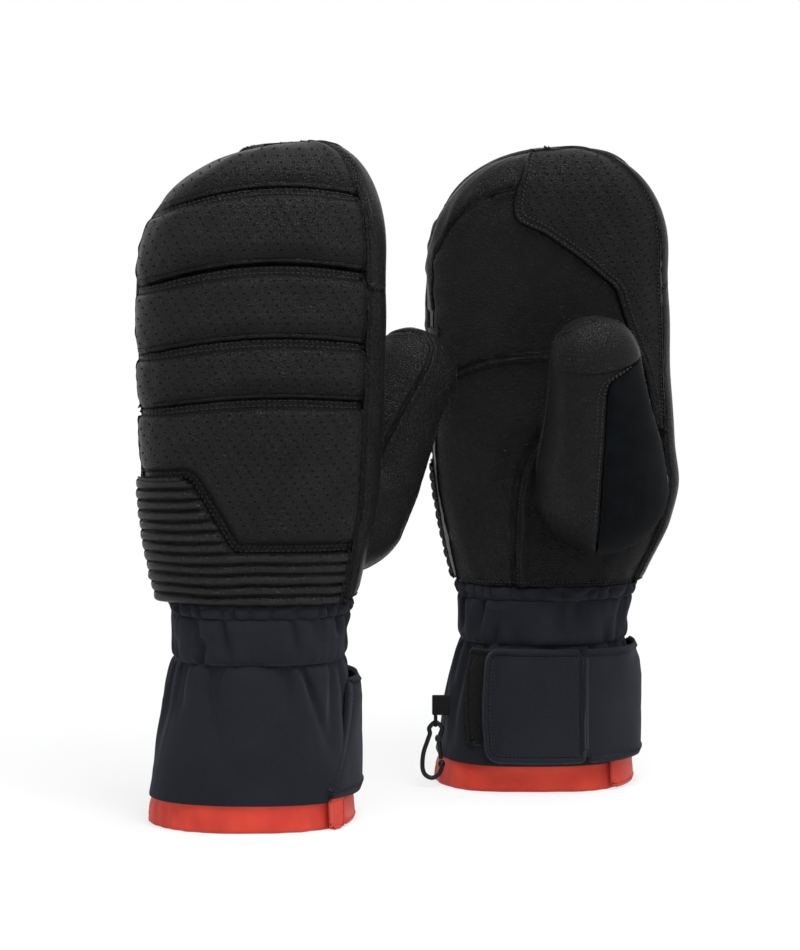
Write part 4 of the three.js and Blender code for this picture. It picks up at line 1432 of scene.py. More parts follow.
def gathers(turn, share, count, seed, deep, wide, both=True):
    # Folds that a drawn-in seam leaves: each starts at an end and fades out along its own slant
    rng = np.random.default_rng(seed)
    total = np.zeros(np.broadcast(turn, share).shape)
    for k in range(count):
        centre = (k + rng.uniform(-0.4, 0.4)) / count
        slant, reach = rng.normal(0, 0.03), rng.uniform(0.4, 1.3)
        mine, width = deep * rng.uniform(0.5, 1.1), wide * rng.uniform(0.6, 1.4)
        away = share if rng.random() < 0.5 or not both else 1 - share
        gap = np.mod(turn - centre - slant * away + 0.5, 1) - 0.5
        left = np.clip(1 - away / reach, 0, 1) ** 0.7
        total -= mine * bell(gap, width * (1 + 0.9 * away)) * left
    return total


def sleeveOffset(mitten, angle, z):
    low, top = mitten.cuffRise, mitten.edge
    line = top - wrist["upperLine"]
    turn = angle / (2 * math.pi)
    share = ramp(z - low, line - low)
    belly = (1 - np.abs(2 * share - 1) ** 3.6) ** 0.5
    nearest = np.minimum(np.abs(z - low), np.abs(z - line))
    small = 0.0010 * (lobes(turn, 34, 72) - 0.4) * fade(nearest, 0.005) * ramp(nearest, 0.0012)
    full = wrist["bulge"] + wrist["front"] * np.sin(angle) ** 2
    middle = wrist["pinch"] + (full - wrist["pinch"]) * belly
    middle = np.maximum(
        middle + gathers(turn, share, 21, 71, wrist["folds"], 0.011) * belly + small, -0.0024
    )
    above = ramp(z - line, wrist["upperLine"])
    puckers = 0.5 + 0.75 * (lobes(turn, 31, 73) - 0.3)
    full = np.sin(math.pi * above**0.85) ** 0.6 * puckers
    upper = mix(wrist["pinch"], -0.001, above) + (wrist["flare"] - wrist["pinch"]) * full
    upper = upper + gathers(turn, above, 22, 74, 0.0026, 0.009) * np.sin(math.pi * above)
    return np.where(z > line, upper, middle)


def slumpOf(mitten, angle, z):
    # The cuff's little finger side sags between its hem and the wrist
    near = bell(angle - math.pi, 0.75)
    return through(wrist["slump"], z) * near


def shellOffset(mitten, angle, z):
    drop = np.clip(mitten.cuffRise - z, 0, None)
    turn = angle / (2 * math.pi)
    skew = 0.35 * drop * np.sin(angle * 2 + 0.6)
    rays = gathers(turn + skew, drop / 0.042, 18, 81, wrist["rays"], 0.0115, both=False)
    broad = lobes(turn + 1.4 * skew, 11, 84) - 0.5
    fine = lobes(turn, 37, 82) - 0.5
    close = fade(drop, 0.006) * (1 - fade(drop, 0.0012))
    pinch = wrist["pinch"] * fade(drop, 0.0022)
    swell = (0.001 + 0.0028 * np.sin(angle) ** 2) * (1 - fade(drop, 0.004)) * fade(drop, 0.03)
    around = np.column_stack([angle * 0.036, 0.6 * z, 0 * z])
    waves = 0.0007 * ripple(around, 0.04, 83) * ramp(drop, 0.02)
    broad = 0.0014 * broad * fade(drop, 0.04) * (1 - fade(drop, 0.006))
    folds = rays * (1 - fade(drop, 0.0016)) + broad
    return pinch + folds + 0.0011 * fine * close + swell + waves + slumpOf(mitten, angle, z)


def ribsOf(mitten, angle, z):
    # The narrow ribs of the elastic
    return 0.0002 * np.sin(angle * 90)


def makeCuff(mitten, sewing):
    low, top = mitten.cuffRise, mitten.edge
    cloth = cuff["cloth"]
    profile = [(low, 0), (top, 0), (top + 0.001, -0.0008)]
    hoop(
        mitten, "wristSleeve", profile, sleeveOffset, "shell", 560, 60, stands="wrist_sleeve",
        thick=0.0009,
    )
    hem = cuff["hem"]
    turned = [(hem + 0.0004, -cloth), (hem, -0.7 * cloth), (hem, -0.3 * cloth), (hem + 0.0004, 0)]
    profile = [(hem + 0.018, -cloth), *turned, (low, 0)]
    hoop(mitten, "cuffShell", profile, shellOffset, "shell", 420, 110, stands="cuff_shell")
    hoop(mitten, "shellFacing", [(hem + 0.012, -cloth), (low, -cloth)], slumpOf, "shell", 120, 20)

    turn = np.linspace(0, 2 * math.pi, 500, endpoint=False)
    for height in (low, top - wrist["upperLine"]):
        z = np.full(len(turn), height)
        level = heightLevel(mitten, z)
        normals = mitten.normals(level, turn)
        points = mitten.local(level, turn) + normals * sleeveOffset(mitten, turn, z)[:, None]
        out = normals * (1, mitten.flip, 1)
        sewing.row(mitten.world(points), out, size=0.8, lift=0.00015, closed=True)

    # The elastic inside the sleeve
    inside = -cloth - cuff["gap"] - 0.0009
    bounds = [mitten.cuffRise + cut["wristRise"] * share for share in (0.02, 0.77)]
    profile = [(height, inside) for height in bounds]
    rest = {"stands": "wrist_elastic", "thick": 0.0011}
    hoop(mitten, "wristElastic", profile, ribsOf, "webbing", 360, 24, **rest)
    makeLiningRing(mitten)
    makeLiningFlaps(mitten)


def liningOffset(mitten, angle, z):
    # The lining hangs loose below the shell's hem, most on the little finger's side
    soft = ripple(np.column_stack([angle * 0.042, 0.5 * z, 0 * z]), 0.03, 91)
    creases = ripple(np.column_stack([angle * 0.042, 0.25 * z, 0 * z]), 0.009, 92)
    hang = 0.0013 * bell(angle - math.pi, 0.75) * ramp(0.0125 - z, 0.006)
    loose = np.maximum(ramp(cuff["hem"] - z, 0.004), 0.15)
    return (0.0007 * soft + 0.00035 * creases) * loose + slumpOf(mitten, angle, z) + hang


def makeLiningRing(mitten):
    low = mitten.cuffRise
    outer = -cuff["cloth"] - cuff["gap"]
    inner = outer - cuff["lining"]
    half = cuff["lining"] / 2
    turns = np.linspace(0, math.pi, 9)
    hem = [(half - half * math.sin(turn), outer - half + half * math.cos(turn)) for turn in turns]
    profile = [(low, outer), (0.016, outer), *hem, (0.02, inner), (low, inner)]
    hoop(mitten, "cuffLining", profile[::-1], liningOffset, "lining", 300, 120, stands="cuff_lining")


def makeLiningFlaps(mitten):
    # Two folded flaps in the slit on the thumb side: from and to in degrees, foot, head and lift
    low = mitten.cuffRise
    flaps = [(-44, -27, 0.0004, 0.0152, 0.0016), (-29, 44, 0.0014, 0.0152, 0.0011)]
    for i, (start, end, foot, head, lift) in enumerate(flaps):
        pattern = Pattern(mitten, foot / low, head / low, math.radians(start), math.radians(end))
        outline = roundOff(pattern.box(), [0.0015, 0.0015, 0.0003, 0.0003], 4)

        def offsetOf(flat, seam):
            soft = 0.00025 * flatRipple(flat, 0.016, 94 + i)
            return lift + soft - 0.0006 * (1 - swellOf(seam, 0.0012))

        stands = "lining_flap" if i == 0 else None
        layPanel(
            f"liningFlap{i}", pattern, outline, offsetOf, "lining", (0.001, 0.001), stands=stands,
            thick=0.0008,
        )


# Closure strap and its patches
strap = {
    "bottom": 0.016,
    "height": 0.052,
    "thick": 0.0015,
    "corner": 0.007,
    "hingeX": 0.022,
    "endX": -0.022,
    "patch": 0.0011,
    "gap": 0.00045,
    "lift": [(0.2, 0.0008), (0.52, 0.0012), (0.74, 0.0032), (0.84, 0.003), (0.9, 0.0016)],
    "seam": [(0.2, -49), (0.289, -41.5), (0.385, -34.5), (0.504, -26.5), (0.731, -18), (0.88, -14)],
    "loop": (-0.032, 0.014, 0.023, 0.068),
    "hook": (-0.018, 0.008, 0.020, 0.064),
    "hingeGap": 0.00005,
    "stiff": 0.01,
    "stitches": 0.0022,
}


def onCuff(pattern, x, z):
    level = z / pattern.mitten.cuffRise
    return float(pattern.acrossOf(pattern.mitten.angleAtX(level, x))), float(pattern.climbOf(level))


def cuffSheet(mitten, name, box, radii, face, look, wave=(0.0002, 0), hinged=False, **rest):
    # A flat piece on the palm side of the cuff, from its x and z bounds; its first and last corners
    # may lie on a hinge, where it keeps straight
    endX, startX, bottom, top = box
    low, high = (bottom - 0.001) / mitten.cuffRise, (top + 0.001) / mitten.cuffRise
    first = mitten.angleAtX((low + high) / 2, startX + 0.003)
    last = mitten.angleAtX((low + high) / 2, endX - 0.003)
    pattern = Pattern(mitten, low, high, float(first) - 0.03, float(last) + 0.03)
    places = (startX, bottom), (endX, bottom), (endX, top), (startX, top)
    corners = [onCuff(pattern, *place) for place in places]
    outline = roundOff(corners, radii, 8)
    free = openEdge(outline, [outline[0], outline[-1]])

    def offsetOf(flat, seam):
        near = 1
        if hinged:
            seam, _ = nearestOnOutline(flat, free, closed=False)
            gap, _ = nearestOnOutline(flat, [outline[-1], outline[0]], closed=False)
            near = ramp(gap, strap["stiff"])
        height, seed = wave
        rim = 0.0005 * (1 - swellOf(seam, 0.0009))
        return face + near * height * flatRipple(flat, 0.02, seed) - rim

    layPanel(name, pattern, outline, offsetOf, look, (0.0012, 0.0012), **rest)
    return pattern, outline, offsetOf


def makeStrap(mitten, sewing, strapSewing):
    rides = f"{mitten.side}_strap"
    bottom, top = strap["bottom"], strap["bottom"] + strap["height"]
    loopFace = strap["gap"]
    hookFace = loopFace + strap["patch"] + strap["gap"]
    face = hookFace + strap["patch"] + strap["gap"]
    outer = face + strap["thick"]

    square, rounded = (0.001, 0.001, 0.001, 0.001), (0.001, 0.003, 0.003, 0.001)
    patch = {"stands": "loop_patch", "thick": 0.001}
    cuffSheet(mitten, "loopPatch", strap["loop"], square, loopFace + strap["patch"], "loops", **patch)
    patch = {"stands": "hook_patch", "thick": 0.001, "rides": rides}
    cuffSheet(mitten, "hookPatch", strap["hook"], rounded, hookFace + strap["patch"], "loops", **patch)
    box = (strap["endX"], strap["hingeX"] - strap["hingeGap"], bottom, top)
    radii = (0.0002, strap["corner"], strap["corner"], 0.0002)
    tab = {
        "wave": (0.00035, 7), "hinged": True, "stands": "strap_tab", "thick": strap["thick"],
        "rides": rides,
    }
    pattern, outline, offsetOf = cuffSheet(mitten, "strapTab", box, radii, outer, "shell", **tab)
    line = insetLine(openEdge(outline, [outline[0], outline[-1]]), 0.0028)
    sewOn(strapSewing, pattern, line[2:-2], offsetOf, outline, size=0.8)

    # The sewn base of the strap wraps the thumb side, and stands off it where the cuff folds
    low, high = bottom / mitten.cuffRise, top / mitten.cuffRise
    hinge = float(mitten.angleAtX((low + high) / 2, strap["hingeX"]))
    levels = np.linspace(high, low, 14)
    turns = np.radians(through(strap["seam"], levels))
    base = Pattern(mitten, low, high, float(turns.min()) - 0.02, hinge + 0.12)
    seamLine = [
        (float(base.acrossOf(turn)), float(base.climbOf(level))) for turn, level in zip(turns, levels)
    ]
    edge = strap["hingeX"] + strap["hingeGap"]
    outline = [onCuff(base, edge, bottom), onCuff(base, edge, top), *seamLine]
    free = [*outline[1:], outline[0]]

    def baseOffset(flat, seam):
        gap, _ = nearestOnOutline(flat, seamLine, closed=False)
        seam, _ = nearestOnOutline(flat, free, closed=False)
        hinge, _ = nearestOnOutline(flat, outline[:2], closed=False)
        share, near = ramp(gap, 0.04), ramp(hinge, strap["stiff"])
        folds = 0.0005 * near * flatRipple(flat, 0.022, 15, (1, 0.5))
        level, angle = base.levelOf(flat[:, 1]), base.angleOf(flat[:, 0])
        lift = np.interp(level, *zip(*strap["lift"])) * bell(angle, 0.5) * swellOf(gap, 0.014)
        flatFace = mix(loopFace, face, share) + strap["thick"]
        rim = 0.0006 * (1 - swellOf(seam, 0.001))
        sewn = 0.0014 * (1 - swellOf(gap, 0.005, 1.5))
        return flatFace + lift + folds * swellOf(seam, 0.006) - rim - sewn

    layPanel(
        "strapBase", base, outline, baseOffset, "shell", (0.0013, 0.0013), stands="strap_base",
        thick=strap["thick"],
    )
    inset = strap["stitches"]
    right, ceiling = outline[0][0] - 0.001, base.height - inset
    lines = [
        [(seamLine[-1][0] + 0.003, inset), (right, inset)],
        [(seamLine[0][0] + 0.003, ceiling), (right, ceiling)],
        insetLine(seamLine, inset)[1:-1],
    ]
    for line in lines:
        sewOn(sewing, base, line, baseOffset, outline, size=0.8)


# Thumb
class Thumb:
    def __init__(self, mitten):
        self.mitten = mitten
        turned = Matrix.Rotation(math.radians(thumb["turn"]), 3, "Y")
        folded = turned @ Matrix.Rotation(math.radians(-thumb["lean"]), 3, "X")
        swing = Matrix.Rotation(mitten.splay, 3, Vector(thumb["axis"]).normalized())
        self.folded, self.turned = np.array(folded), np.array(swing @ folded)
        stations = np.linspace(-1, 2, 601)
        shape = self.section(stations)
        outline = np.stack([shape["front"], shape["along"]], 1)
        run = runOf(outline)
        self.stations, self.runs = stations, run

    def section(self, station):
        radius, tip = thumb["radius"], thumb["tip"]
        start = thumb["length"] - thumb["tipRise"]
        ball = math.pi / 2 * np.clip(station, -1, 0)
        share = np.clip(station, 0, 1)
        turn = math.pi / 2 * np.clip(station - 1, 0, 1)
        power = 2 / thumb["tipPower"]
        close = np.cos(turn) ** power

        def pick(name, end):
            taper = mix(radius, end, through(thumb[name], share))
            return np.where(station < 0, radius * np.cos(ball), taper * close)

        along = radius * np.sin(ball) + start * share + thumb["tipRise"] * np.sin(turn) ** power
        return {
            "along": along,
            "wide": pick("width", tip[0]),
            "front": pick("front", tip[1]),
            "back": pick("back", tip[1]),
        }

    def point(self, station, angle):
        at = self.section(station)
        depth = np.where(np.sin(angle) > 0, at["front"], at["back"])
        return np.stack([at["wide"] * np.cos(angle), depth * np.sin(angle), at["along"]], -1)

    def normals(self, station, angle):
        step = 2e-3
        station = np.clip(station, -1 + 2 * step, 2 - 2 * step)
        up = self.point(station + step, angle) - self.point(station - step, angle)
        along = self.point(station, angle + step) - self.point(station, angle - step)
        out = np.cross(along, up)
        return out / np.maximum(np.linalg.norm(out, axis=-1, keepdims=True), 1e-12)

    def stationOf(self, run):
        return np.interp(run, self.runs, self.stations)

    def stationAt(self, along):
        return np.interp(along, self.section(self.stations)["along"], self.stations)

    def wipeAngle(self, station):
        # Where the suede ends on the thumb's front; 0 is the seam on its outer side
        at = self.section(station)
        rows = [(share, across) for across, share in thumb["wipe"]] + [(0.80, 0.72)]
        x = thumb["radius"] * through(rows, at["along"] / thumb["length"])
        angle = np.arccos(np.clip(x / np.maximum(at["wide"], 1e-6), -1, 1))
        return np.where(at["along"] > 0.8 * thumb["length"], 0, angle)

    def world(self, points):
        return self.mitten.world(points @ self.turned.T + self.mitten.root)

    def openMouth(self, sheet):
        # The ball is open towards the inside of the hand
        points = np.array([vert.co for vert in sheet.verts])
        local = (points - (*self.mitten.origin, 0)) * (1, self.mitten.flip, 1) - self.mitten.root
        folded = (local @ self.turned) @ self.folded.T
        reach = np.hypot(folded[:, 0], folded[:, 2])
        inside = (folded[:, 1] < 0) & (reach < thumb["radius"] * thumb["mouth"])
        gone = [vert for vert, away in zip(list(sheet.verts), inside) if away]
        bmesh.ops.delete(sheet, geom=gone, context="VERTS")


def thumbPanel(
    holder, name, stands, look, ends, highest, columns, seed, crown=0.0005, groove=0.0011, line=None
):
    # A panel of the thumb between two angles, which may change along it, from the ball's foot up to a
    # highest run; a line is a seam sewn across it
    side = holder.mitten.side
    rows = int(highest / (0.0013 if line is None else 0.0007))

    def shape(across, up):
        run = highest * up
        station = holder.stationOf(run)
        first, last = (end(station) if callable(end) else np.full(len(run), end) for end in ends)
        angle = mix(first, last, across)
        at = holder.section(station)
        mean = (at["wide"] + at["front"]) / 2
        span = (last - first) * mean
        seam = np.minimum(across, 1 - across) * span
        seam = np.minimum(seam, (highest - run) if highest < holder.runs[-1] - 1e-6 else 1)
        points = holder.point(station, angle)
        soft = ripple(points * (1, 1, 0.6), 0.024, seed)
        fine = ripple(points, 0.0055, seed + 1) * fade(seam, 0.0028)
        close = ramp(2 - station, 0.25)
        height = swellOf(seam, 0.0026)
        offset = -groove + (crown + groove + 0.0004 * soft) * height + 0.0002 * fine
        if line is not None:
            gap = np.min(np.linalg.norm(points[:, None] - line[None], axis=2), axis=1)
            offset = offset - 0.0014 * bell(gap, 0.0007) + 0.0006 * bell(gap - 0.0021, 0.0014)
        points = points + holder.normals(station, angle) * (offset * mix(0.3, 1, close))[:, None]
        return holder.world(points), np.column_stack([angle * 0.026, run]), seam

    rest = {"flipped": holder.mitten.flip < 0, "carve": holder.openMouth, "rides": f"{side}_thumb"}
    weave(f"{side}_{name}", columns, rows, shape, look, stands=f"{side}_{stands}", thick=0.0016, **rest)


def sewThumb(holder, sewing, runs, angles, lift=0.0003, size=0.85):
    station = holder.stationOf(runs)
    normals = holder.normals(station, angles)
    points = holder.point(station, angles) + normals * lift
    turned = normals @ holder.turned.T
    sewing.row(holder.world(points), turned * (1, holder.mitten.flip, 1), lift=0.0001, size=size)


def nailSeam(holder):
    # The seam that curves round the nail, as evenly spaced stations and angles
    rows = np.array(thumb["nail"])
    columns = rows[:, 0], np.radians(rows[:, 1])
    place = np.linspace(0, len(rows) - 1, 1500)
    stations, angles = (np.interp(place, np.arange(len(rows)), column) for column in columns)
    run = runOf(holder.point(stations, angles))
    even = np.linspace(0, run[-1], 300)
    return np.interp(even, run, stations), np.interp(even, run, angles)


def makeThumb(mitten):
    side = mitten.side
    holder = Thumb(mitten)
    sewing = Sewing()
    full = holder.runs[-1]
    wipeTop = float(np.interp(holder.stationAt(0.795 * thumb["length"]), holder.stations, holder.runs))
    folded = side == "right"

    def outer(station):
        return np.radians(through(thumb["outer"], station)) if folded else 0 * station

    def inner(station):
        return np.radians(through(thumb["inner"], station)) if folded else 0 * station + math.pi

    nailStations, nailAngles, line = None, None, None
    if not folded:
        nailStations, nailAngles = nailSeam(holder)
        line = holder.point(nailStations, nailAngles)

    def wipeEdge(station):
        # The suede's edge, or the outer seam above it
        wipe, seam = holder.wipeAngle(station), outer(station)
        return (np.where(wipe > 0, wipe, seam) if folded else np.maximum(wipe, seam)) + 0.012

    def wipeEnd(station):
        return np.maximum(holder.wipeAngle(station) - 0.014, 0.013)

    back = (lambda s: inner(s) + 0.012, lambda s: 2 * math.pi + outer(s) - 0.012)
    front = (wipeEdge, lambda s: inner(s) - 0.012)
    thumbPanel(
        holder, "thumbBack", "thumb_back", "leather", back, full, 74 if folded else 120, 101, line=line
    )
    thumbPanel(holder, "thumbFront", "thumb_front", "leather", front, full, 90, 103)
    wipe = {"crown": 0.0003, "groove": 0.0007}
    thumbPanel(holder, "thumbWipe", "thumb_wipe", "suede", (0.012, wipeEnd), wipeTop, 60, 105, **wipe)

    # Stitches beside the seams, from the root to the tip
    runs = np.linspace(0.06, full - 0.012, 160)
    wide = holder.section(holder.stationOf(runs))["wide"]
    for edge, way in ((inner, -1), (inner, 1), (outer, -1)):
        beside = way * thumb["stitches"] / np.maximum(wide, 0.008)
        sewThumb(holder, sewing, runs, edge(holder.stationOf(runs)) + beside)
    border = np.linspace(0.05, wipeTop - 0.001, 160)
    station = holder.stationOf(border)
    wide = holder.section(station)["wide"]
    for inset in (0.0022, 0.0046):
        sewThumb(holder, sewing, border, holder.wipeAngle(station) + inset / np.maximum(wide, 0.008))
    runs = np.linspace(wipeTop + 0.004, full - 0.012, 60)
    station = holder.stationOf(runs)
    wide = holder.section(station)["wide"]
    sewThumb(holder, sewing, runs, outer(station) + thumb["stitches"] / np.maximum(wide, 0.008))
    if not folded:
        runs = np.interp(nailStations, holder.stations, holder.runs)
        wide = holder.section(nailStations)["wide"]
        sewThumb(holder, sewing, runs[20:250], nailAngles[20:250], lift=-0.0009, size=0.7)
    sewing.finish(f"{side}_thumbStitches", "thread", f"{side}_thumb")

    makeThumbLining(holder, full)


def makeThumbLining(holder, full):
    mitten = holder.mitten

    def lay(across, up):
        station = holder.stationOf(up * full)
        angle = across * 2 * math.pi
        points = holder.point(station, angle)
        depth = thumb["lining"] + 0.0004 * ripple(points, 0.01, 107)
        points = points - holder.normals(station, angle) * depth[:, None]
        return holder.world(points), np.column_stack([angle * 0.02, up * full]), None

    name, node = f"{mitten.side}_thumbLining", f"{mitten.side}_thumb_liner"
    rest = {"flipped": mitten.flip < 0, "carve": holder.openMouth, "rides": f"{mitten.side}_thumb"}
    weave(name, 72, 60, lay, "fleece", stands=node, thick=-0.004, **rest)


def makeHandLining(mitten):
    # Fleece inside the hand and wrist, open at the cuff and at the thumb
    side = mitten.side
    start = mitten.cuffRise + 0.05 * cut["wristRise"]
    wristFace, handFace = -0.0064, -thumb["lining"]

    def lay(across, up):
        level = np.interp(up, [0, 0.12, 1], [heightLevel(mitten, start), 2, 4])
        angle = across * 2 * math.pi
        depth = np.interp(level, [1.9, 2.1], [wristFace, handFace])
        points = mitten.local(level, angle)
        soft = 0.0006 * ripple(points, 0.016, 111)
        points = points + mitten.normals(level, angle) * (depth + soft)[:, None]
        return mitten.world(points), np.column_stack([across * 0.25, up * 0.22]), None

    def carve(sheet):
        openSocket(sheet, mitten)

    rest = {"flipped": mitten.flip < 0, "carve": carve, "stands": f"{side}_hand_liner", "thick": -0.003}
    weave(f"{side}_handLining", 150, 130, lay, "fleece", **rest)


# Webbing tab and carabiner on the right cuff
clip = {
    "wire": 0.0022,
    "nose": (0.0018, 1.12),
    "noseGap": 0.00035,
    "lug": (0.0017, 0.001),
    "fork": (0.0017, 0.0006, 0.00115),
    "forkBevel": 0.00012,
    "gate": 0.96,
    "gateStart": 0.08,
    "halfWidth": 0.0046,
    "reach": 0.0274,
    "path": [
        (0.3, -0.29), (0.52, -0.2), (0.66, -0.1), (0, 0), (-0.66, -0.1), (-0.6, -0.2), (-0.85, -0.33),
        (-1.28, -0.56), (-1.38, -0.8), (-1.1, -0.94), (-0.38, -1), (0.3, -0.94), (0.62, -0.82),
        (0.62, -0.75),
    ],
}
# The webbing's tab, and its loop: a narrow tape round the wire, with room for it to turn
tape = {
    "thick": 0.0026,
    "round": 0.0007,
    "wire": 0.0011,
    "clear": 3 * 0.00035,
    "wide": 0.0018,
    "wall": 0.0008,
}
rounding = {"profile": 0.5, "affect": "EDGES", "material": -1}


def softPath(points, count):
    # A rounded run through points, evenly spaced
    table = np.array(points, float)
    padded = np.vstack([2 * table[0] - table[1], table, 2 * table[-1] - table[-2]])
    run = []
    for a, b, c, d in zip(padded, padded[1:], padded[2:], padded[3:]):
        for t in np.linspace(0, 1, 12, endpoint=False):
            square = (2 * a - 5 * b + 4 * c - d) * t * t
            cube = (3 * b - a - 3 * c + d) * t**3
            run.append(0.5 * (2 * b + (c - a) * t + square + cube))
    run.append(table[-1])
    return evenly(run)(np.linspace(0, 1, count))


def flatWire(name, points, radius, look, sides=18, **rest):
    # A round wire along a run that lies in the plane across the mitten
    points = np.asarray(points)
    way = np.gradient(points, axis=0)
    way /= np.linalg.norm(way, axis=1, keepdims=True)
    out = np.cross(way, (0, 1, 0))
    count = len(points)

    def lay(across, up):
        i = np.round(up * (count - 1)).astype(int)
        turn = across[:, None] * 2 * math.pi
        ends = np.minimum(i, count - 1 - i)
        size = radius * np.where(ends == 0, 0.02, np.where(ends == 1, 0.8, 1))[:, None]
        place = points[i] + size * (out[i] * np.cos(turn) + np.array((0, 1, 0)) * np.sin(turn))
        return place, np.column_stack([across * radius * 6, up * 0.06]), None

    return weave(name, sides, count - 1, lay, look, flipped=True, **rest)


def addDisc(sheet, middle, radius, depth):
    spot = Matrix.Translation(middle) @ Matrix.Rotation(math.pi / 2, 4, "X")
    bmesh.ops.create_cone(
        sheet, cap_ends=True, segments=32, radius1=radius, radius2=radius, depth=depth, matrix=spot
    )


def makeCarabiner():
    # Its eye hangs at the body's highest point, and the path's leftmost point touches the body's box
    low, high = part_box("right_carabiner_body")
    wire = clip["wire"] / 2
    overhang = -min(x for x, z in clip["path"]) * clip["halfWidth"]
    origin = np.array((low.x + overhang + wire, (low.y + high.y) / 2, high.z - wire))
    corners = [(x * clip["halfWidth"], 0, z * clip["reach"]) for x, z in clip["path"]]
    spine = softPath(corners, 150) + origin
    flatWire("carabinerBody", spine, wire, "metal", rides="carabiner", stands="right_carabiner_body")

    nose, (radius, stretch) = bmesh.new(), clip["nose"]
    spot = Matrix.Translation(spine[-1]) @ Matrix.Diagonal((1, 1, stretch, 1))
    bmesh.ops.create_uvsphere(nose, u_segments=28, v_segments=16, radius=radius, matrix=spot)
    addPiece("carabinerNose", nose, "metal", rides="carabiner")

    pivot = spine[0]
    way = (pivot - spine[-1]) / np.linalg.norm(pivot - spine[-1])
    end = spine[-1] + way * (radius + clip["noseGap"])
    bar = [pivot + (end - pivot) * share for share in np.linspace(clip["gateStart"], 1, 40)]
    gate = {"rides": "carabiner_gate", "stands": "right_carabiner_gate"}
    flatWire("carabinerGate", bar, wire * clip["gate"], "metal", **gate)

    fork, (radius, depth, apart) = bmesh.new(), clip["fork"]
    for way in (-1, 1):
        addDisc(fork, pivot + np.array((0, way * apart, 0)), radius, depth)
    rims = [edge for edge in fork.edges if edge.calc_face_angle(0) > 1]
    bmesh.ops.bevel(fork, geom=rims, offset=clip["forkBevel"], segments=2, **rounding)
    addPiece("carabinerFork", fork, "metal", rides="carabiner_gate")
    lug = bmesh.new()
    addDisc(lug, pivot, *clip["lug"])
    addPiece("carabinerLug", lug, "metal", rides="carabiner")
    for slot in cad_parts["right_carabiner_pin"].material_slots:
        slot.material = looks["metal"]
    return origin


def makeTape(origin):
    # A doubled tab sewn to the cuff, and the narrow loop that holds the eye
    low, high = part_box("right_clip_tab")
    eye = tape["wire"] + tape["clear"]
    foot = low.z + 2 * (eye + tape["wall"])
    tab = bmesh.new()
    size = Vector((high.x - low.x, tape["thick"], high.z - foot))
    middle = Vector(((low.x + high.x) / 2, (low.y + high.y) / 2, (high.z + foot) / 2))
    spot = Matrix.Translation(middle) @ Matrix.Diagonal((*size, 1))
    bmesh.ops.create_cube(tab, size=1, matrix=spot)
    bmesh.ops.bevel(tab, geom=tab.edges[:], offset=tape["round"], segments=4, **rounding)
    addPiece("clipTab", tab, "webbing", stands="right_clip_tab")

    loop = bmesh.new()
    radius = eye + tape["wall"] / 2
    centre = Vector((origin[0], middle.y, low.z + radius + tape["wall"] / 2))
    spot = Matrix.Translation(centre + Vector((0, radius, 0)))
    spot = spot @ Matrix.Diagonal((tape["wide"], tape["wall"], 1, 1))
    rim = bmesh.ops.create_circle(loop, cap_ends=False, radius=0.5, segments=16, matrix=spot)["verts"]
    turn = {"axis": (1, 0, 0), "angle": 2 * math.pi, "steps": 36, "use_merge": True}
    bmesh.ops.spin(loop, geom=rim + loop.edges[:], cent=centre, **turn)
    bmesh.ops.recalc_face_normals(loop, faces=loop.faces[:])
    addPiece("clipLoop", loop, "webbing")


# The pair
def makeMitten(side):
    print("sewing the", side, "mitten")
    mitten = mittens[side]
    leatherSewing, clothSewing, strapSewing = Sewing(), Sewing(), Sewing()
    makeBackPads(mitten, leatherSewing)
    makeHandPad(mitten, leatherSewing)
    makeRibs(mitten)
    makeGussets(mitten)
    makePalm(mitten, leatherSewing)
    makeThumb(mitten)
    makeHandLining(mitten)
    print("gathering the", side, "wrist and cuff")
    makeCuff(mitten, clothSewing)
    makeStrap(mitten, clothSewing, strapSewing)
    leatherSewing.finish(f"{side}_leatherStitches", "thread")
    clothSewing.finish(f"{side}_clothStitches", "shellThread")
    strapSewing.finish(f"{side}_strapStitches", "shellThread", f"{side}_strap")


for side in mittens:
    makeMitten(side)
print("hanging the carabiner")
makeTape(makeCarabiner())


# Pale floor, white surroundings and soft lamps
lamps = [
    {"at": (1.2, -1.3, 2.0), "size": 1.0, "power": 15},
    {"at": (-0.8, -2.4, 0.8), "size": 1.4, "power": 8},
    {"at": (0.4, -0.1, 2.3), "size": 1.5, "power": 34},
    {"at": (0.12, -0.5, 0.98), "size": 0.36, "power": 4.2},
]
surroundings = {"sky": (0.93, 0.96, 1, 1), "strength": 0.42, "white": (1, 1, 1, 1)}
floor = {
    "size": 14,
    "drop": 0.0002,
    "tone": (0.9, 0.9, 0.9),
    "roughness": 0.9,
    "clear": (0.1, 0.75),
    "near": 0.72,
}
directRays = ("Is Camera Ray", "Is Glossy Ray", "Is Transmission Ray")


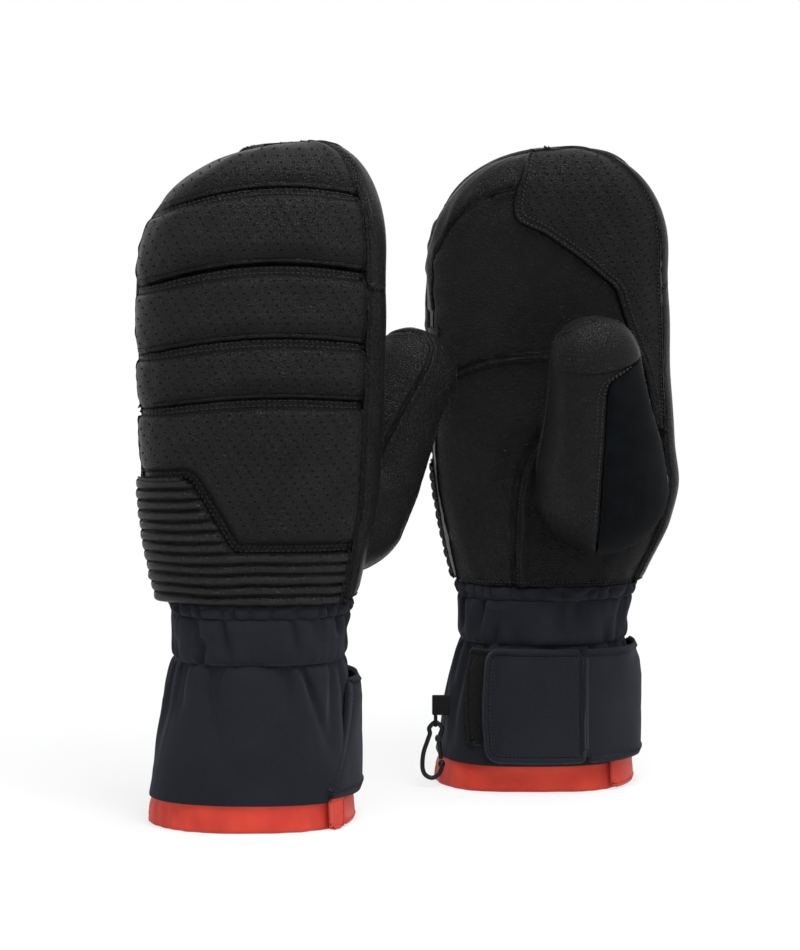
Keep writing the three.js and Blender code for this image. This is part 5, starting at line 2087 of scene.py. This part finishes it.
def makeFloor():
    sheet = bmesh.new()
    bmesh.ops.create_grid(sheet, x_segments=2, y_segments=2, size=floor["size"])
    mesh = bpy.data.meshes.new("floor")
    sheet.to_mesh(mesh)
    sheet.free()
    finish = Finish("floor", floor["tone"], floor["roughness"])
    mesh.materials.append(finish.material)
    ground = bpy.data.objects.new("floor", mesh)
    ground.location.z = -floor["drop"]
    bpy.context.scene.collection.objects.link(ground)

    # Seen directly the floor glows white, more so away from the mittens, and keeps their shadow
    nodes, links = finish.tree.nodes, finish.tree.links
    path = nodes.new("ShaderNodeLightPath")
    camera, glossy, passing = (Signal(finish, path.outputs[name]) for name in directRays)
    x, y, _ = finish.parts(finish.place())
    away = ((x * x + y * y) ** 0.5).clipped(*floor["clear"])
    share = (camera + glossy + passing).maths("MINIMUM", 1)
    share = share * (floor["near"] + away * (1 - floor["near"]))
    glow, blend = nodes.new("ShaderNodeEmission"), nodes.new("ShaderNodeMixShader")
    finish.set("Fac", share, blend)
    links.new(finish.shader.outputs[0], blend.inputs[1])
    links.new(glow.outputs[0], blend.inputs[2])
    links.new(blend.outputs[0], nodes["Material Output"].inputs["Surface"])


def makeSurroundings():
    # The background is white, and lights the mittens less than it shows
    world = bpy.data.worlds.new("surroundings")
    world.use_nodes = True
    bpy.context.scene.world = world
    nodes, links = world.node_tree.nodes, world.node_tree.links
    soft, white = nodes["Background"], nodes.new("ShaderNodeBackground")
    soft.inputs["Color"].default_value = surroundings["sky"]
    soft.inputs["Strength"].default_value = surroundings["strength"]
    white.inputs["Color"].default_value = surroundings["white"]
    path = nodes.new("ShaderNodeLightPath")
    direct = path.outputs[directRays[0]]
    for ray in directRays[1:]:
        either = nodes.new("ShaderNodeMath")
        either.operation = "MAXIMUM"
        links.new(direct, either.inputs[0])
        links.new(path.outputs[ray], either.inputs[1])
        direct = either.outputs[0]
    blend = nodes.new("ShaderNodeMixShader")
    links.new(direct, blend.inputs[0])
    links.new(soft.outputs[0], blend.inputs[1])
    links.new(white.outputs[0], blend.inputs[2])
    links.new(blend.outputs[0], nodes["World Output"].inputs["Surface"])


def makeLamps():
    for i, lamp in enumerate(lamps):
        light = bpy.data.lights.new(f"softbox{i}", "AREA")
        light.shape, light.size, light.energy = "DISK", lamp["size"], lamp["power"]
        holder = bpy.data.objects.new(f"softbox{i}", light)
        holder.location = lamp["at"]
        way = Vector(lamp["at"]) - Vector(shot["target"])
        holder.rotation_euler = way.to_track_quat("Z", "Y").to_euler()
        bpy.context.scene.collection.objects.link(holder)


print("setting the stage")
makeFloor()
makeSurroundings()
makeLamps()
bpy.context.scene.view_settings.view_transform = "Standard"
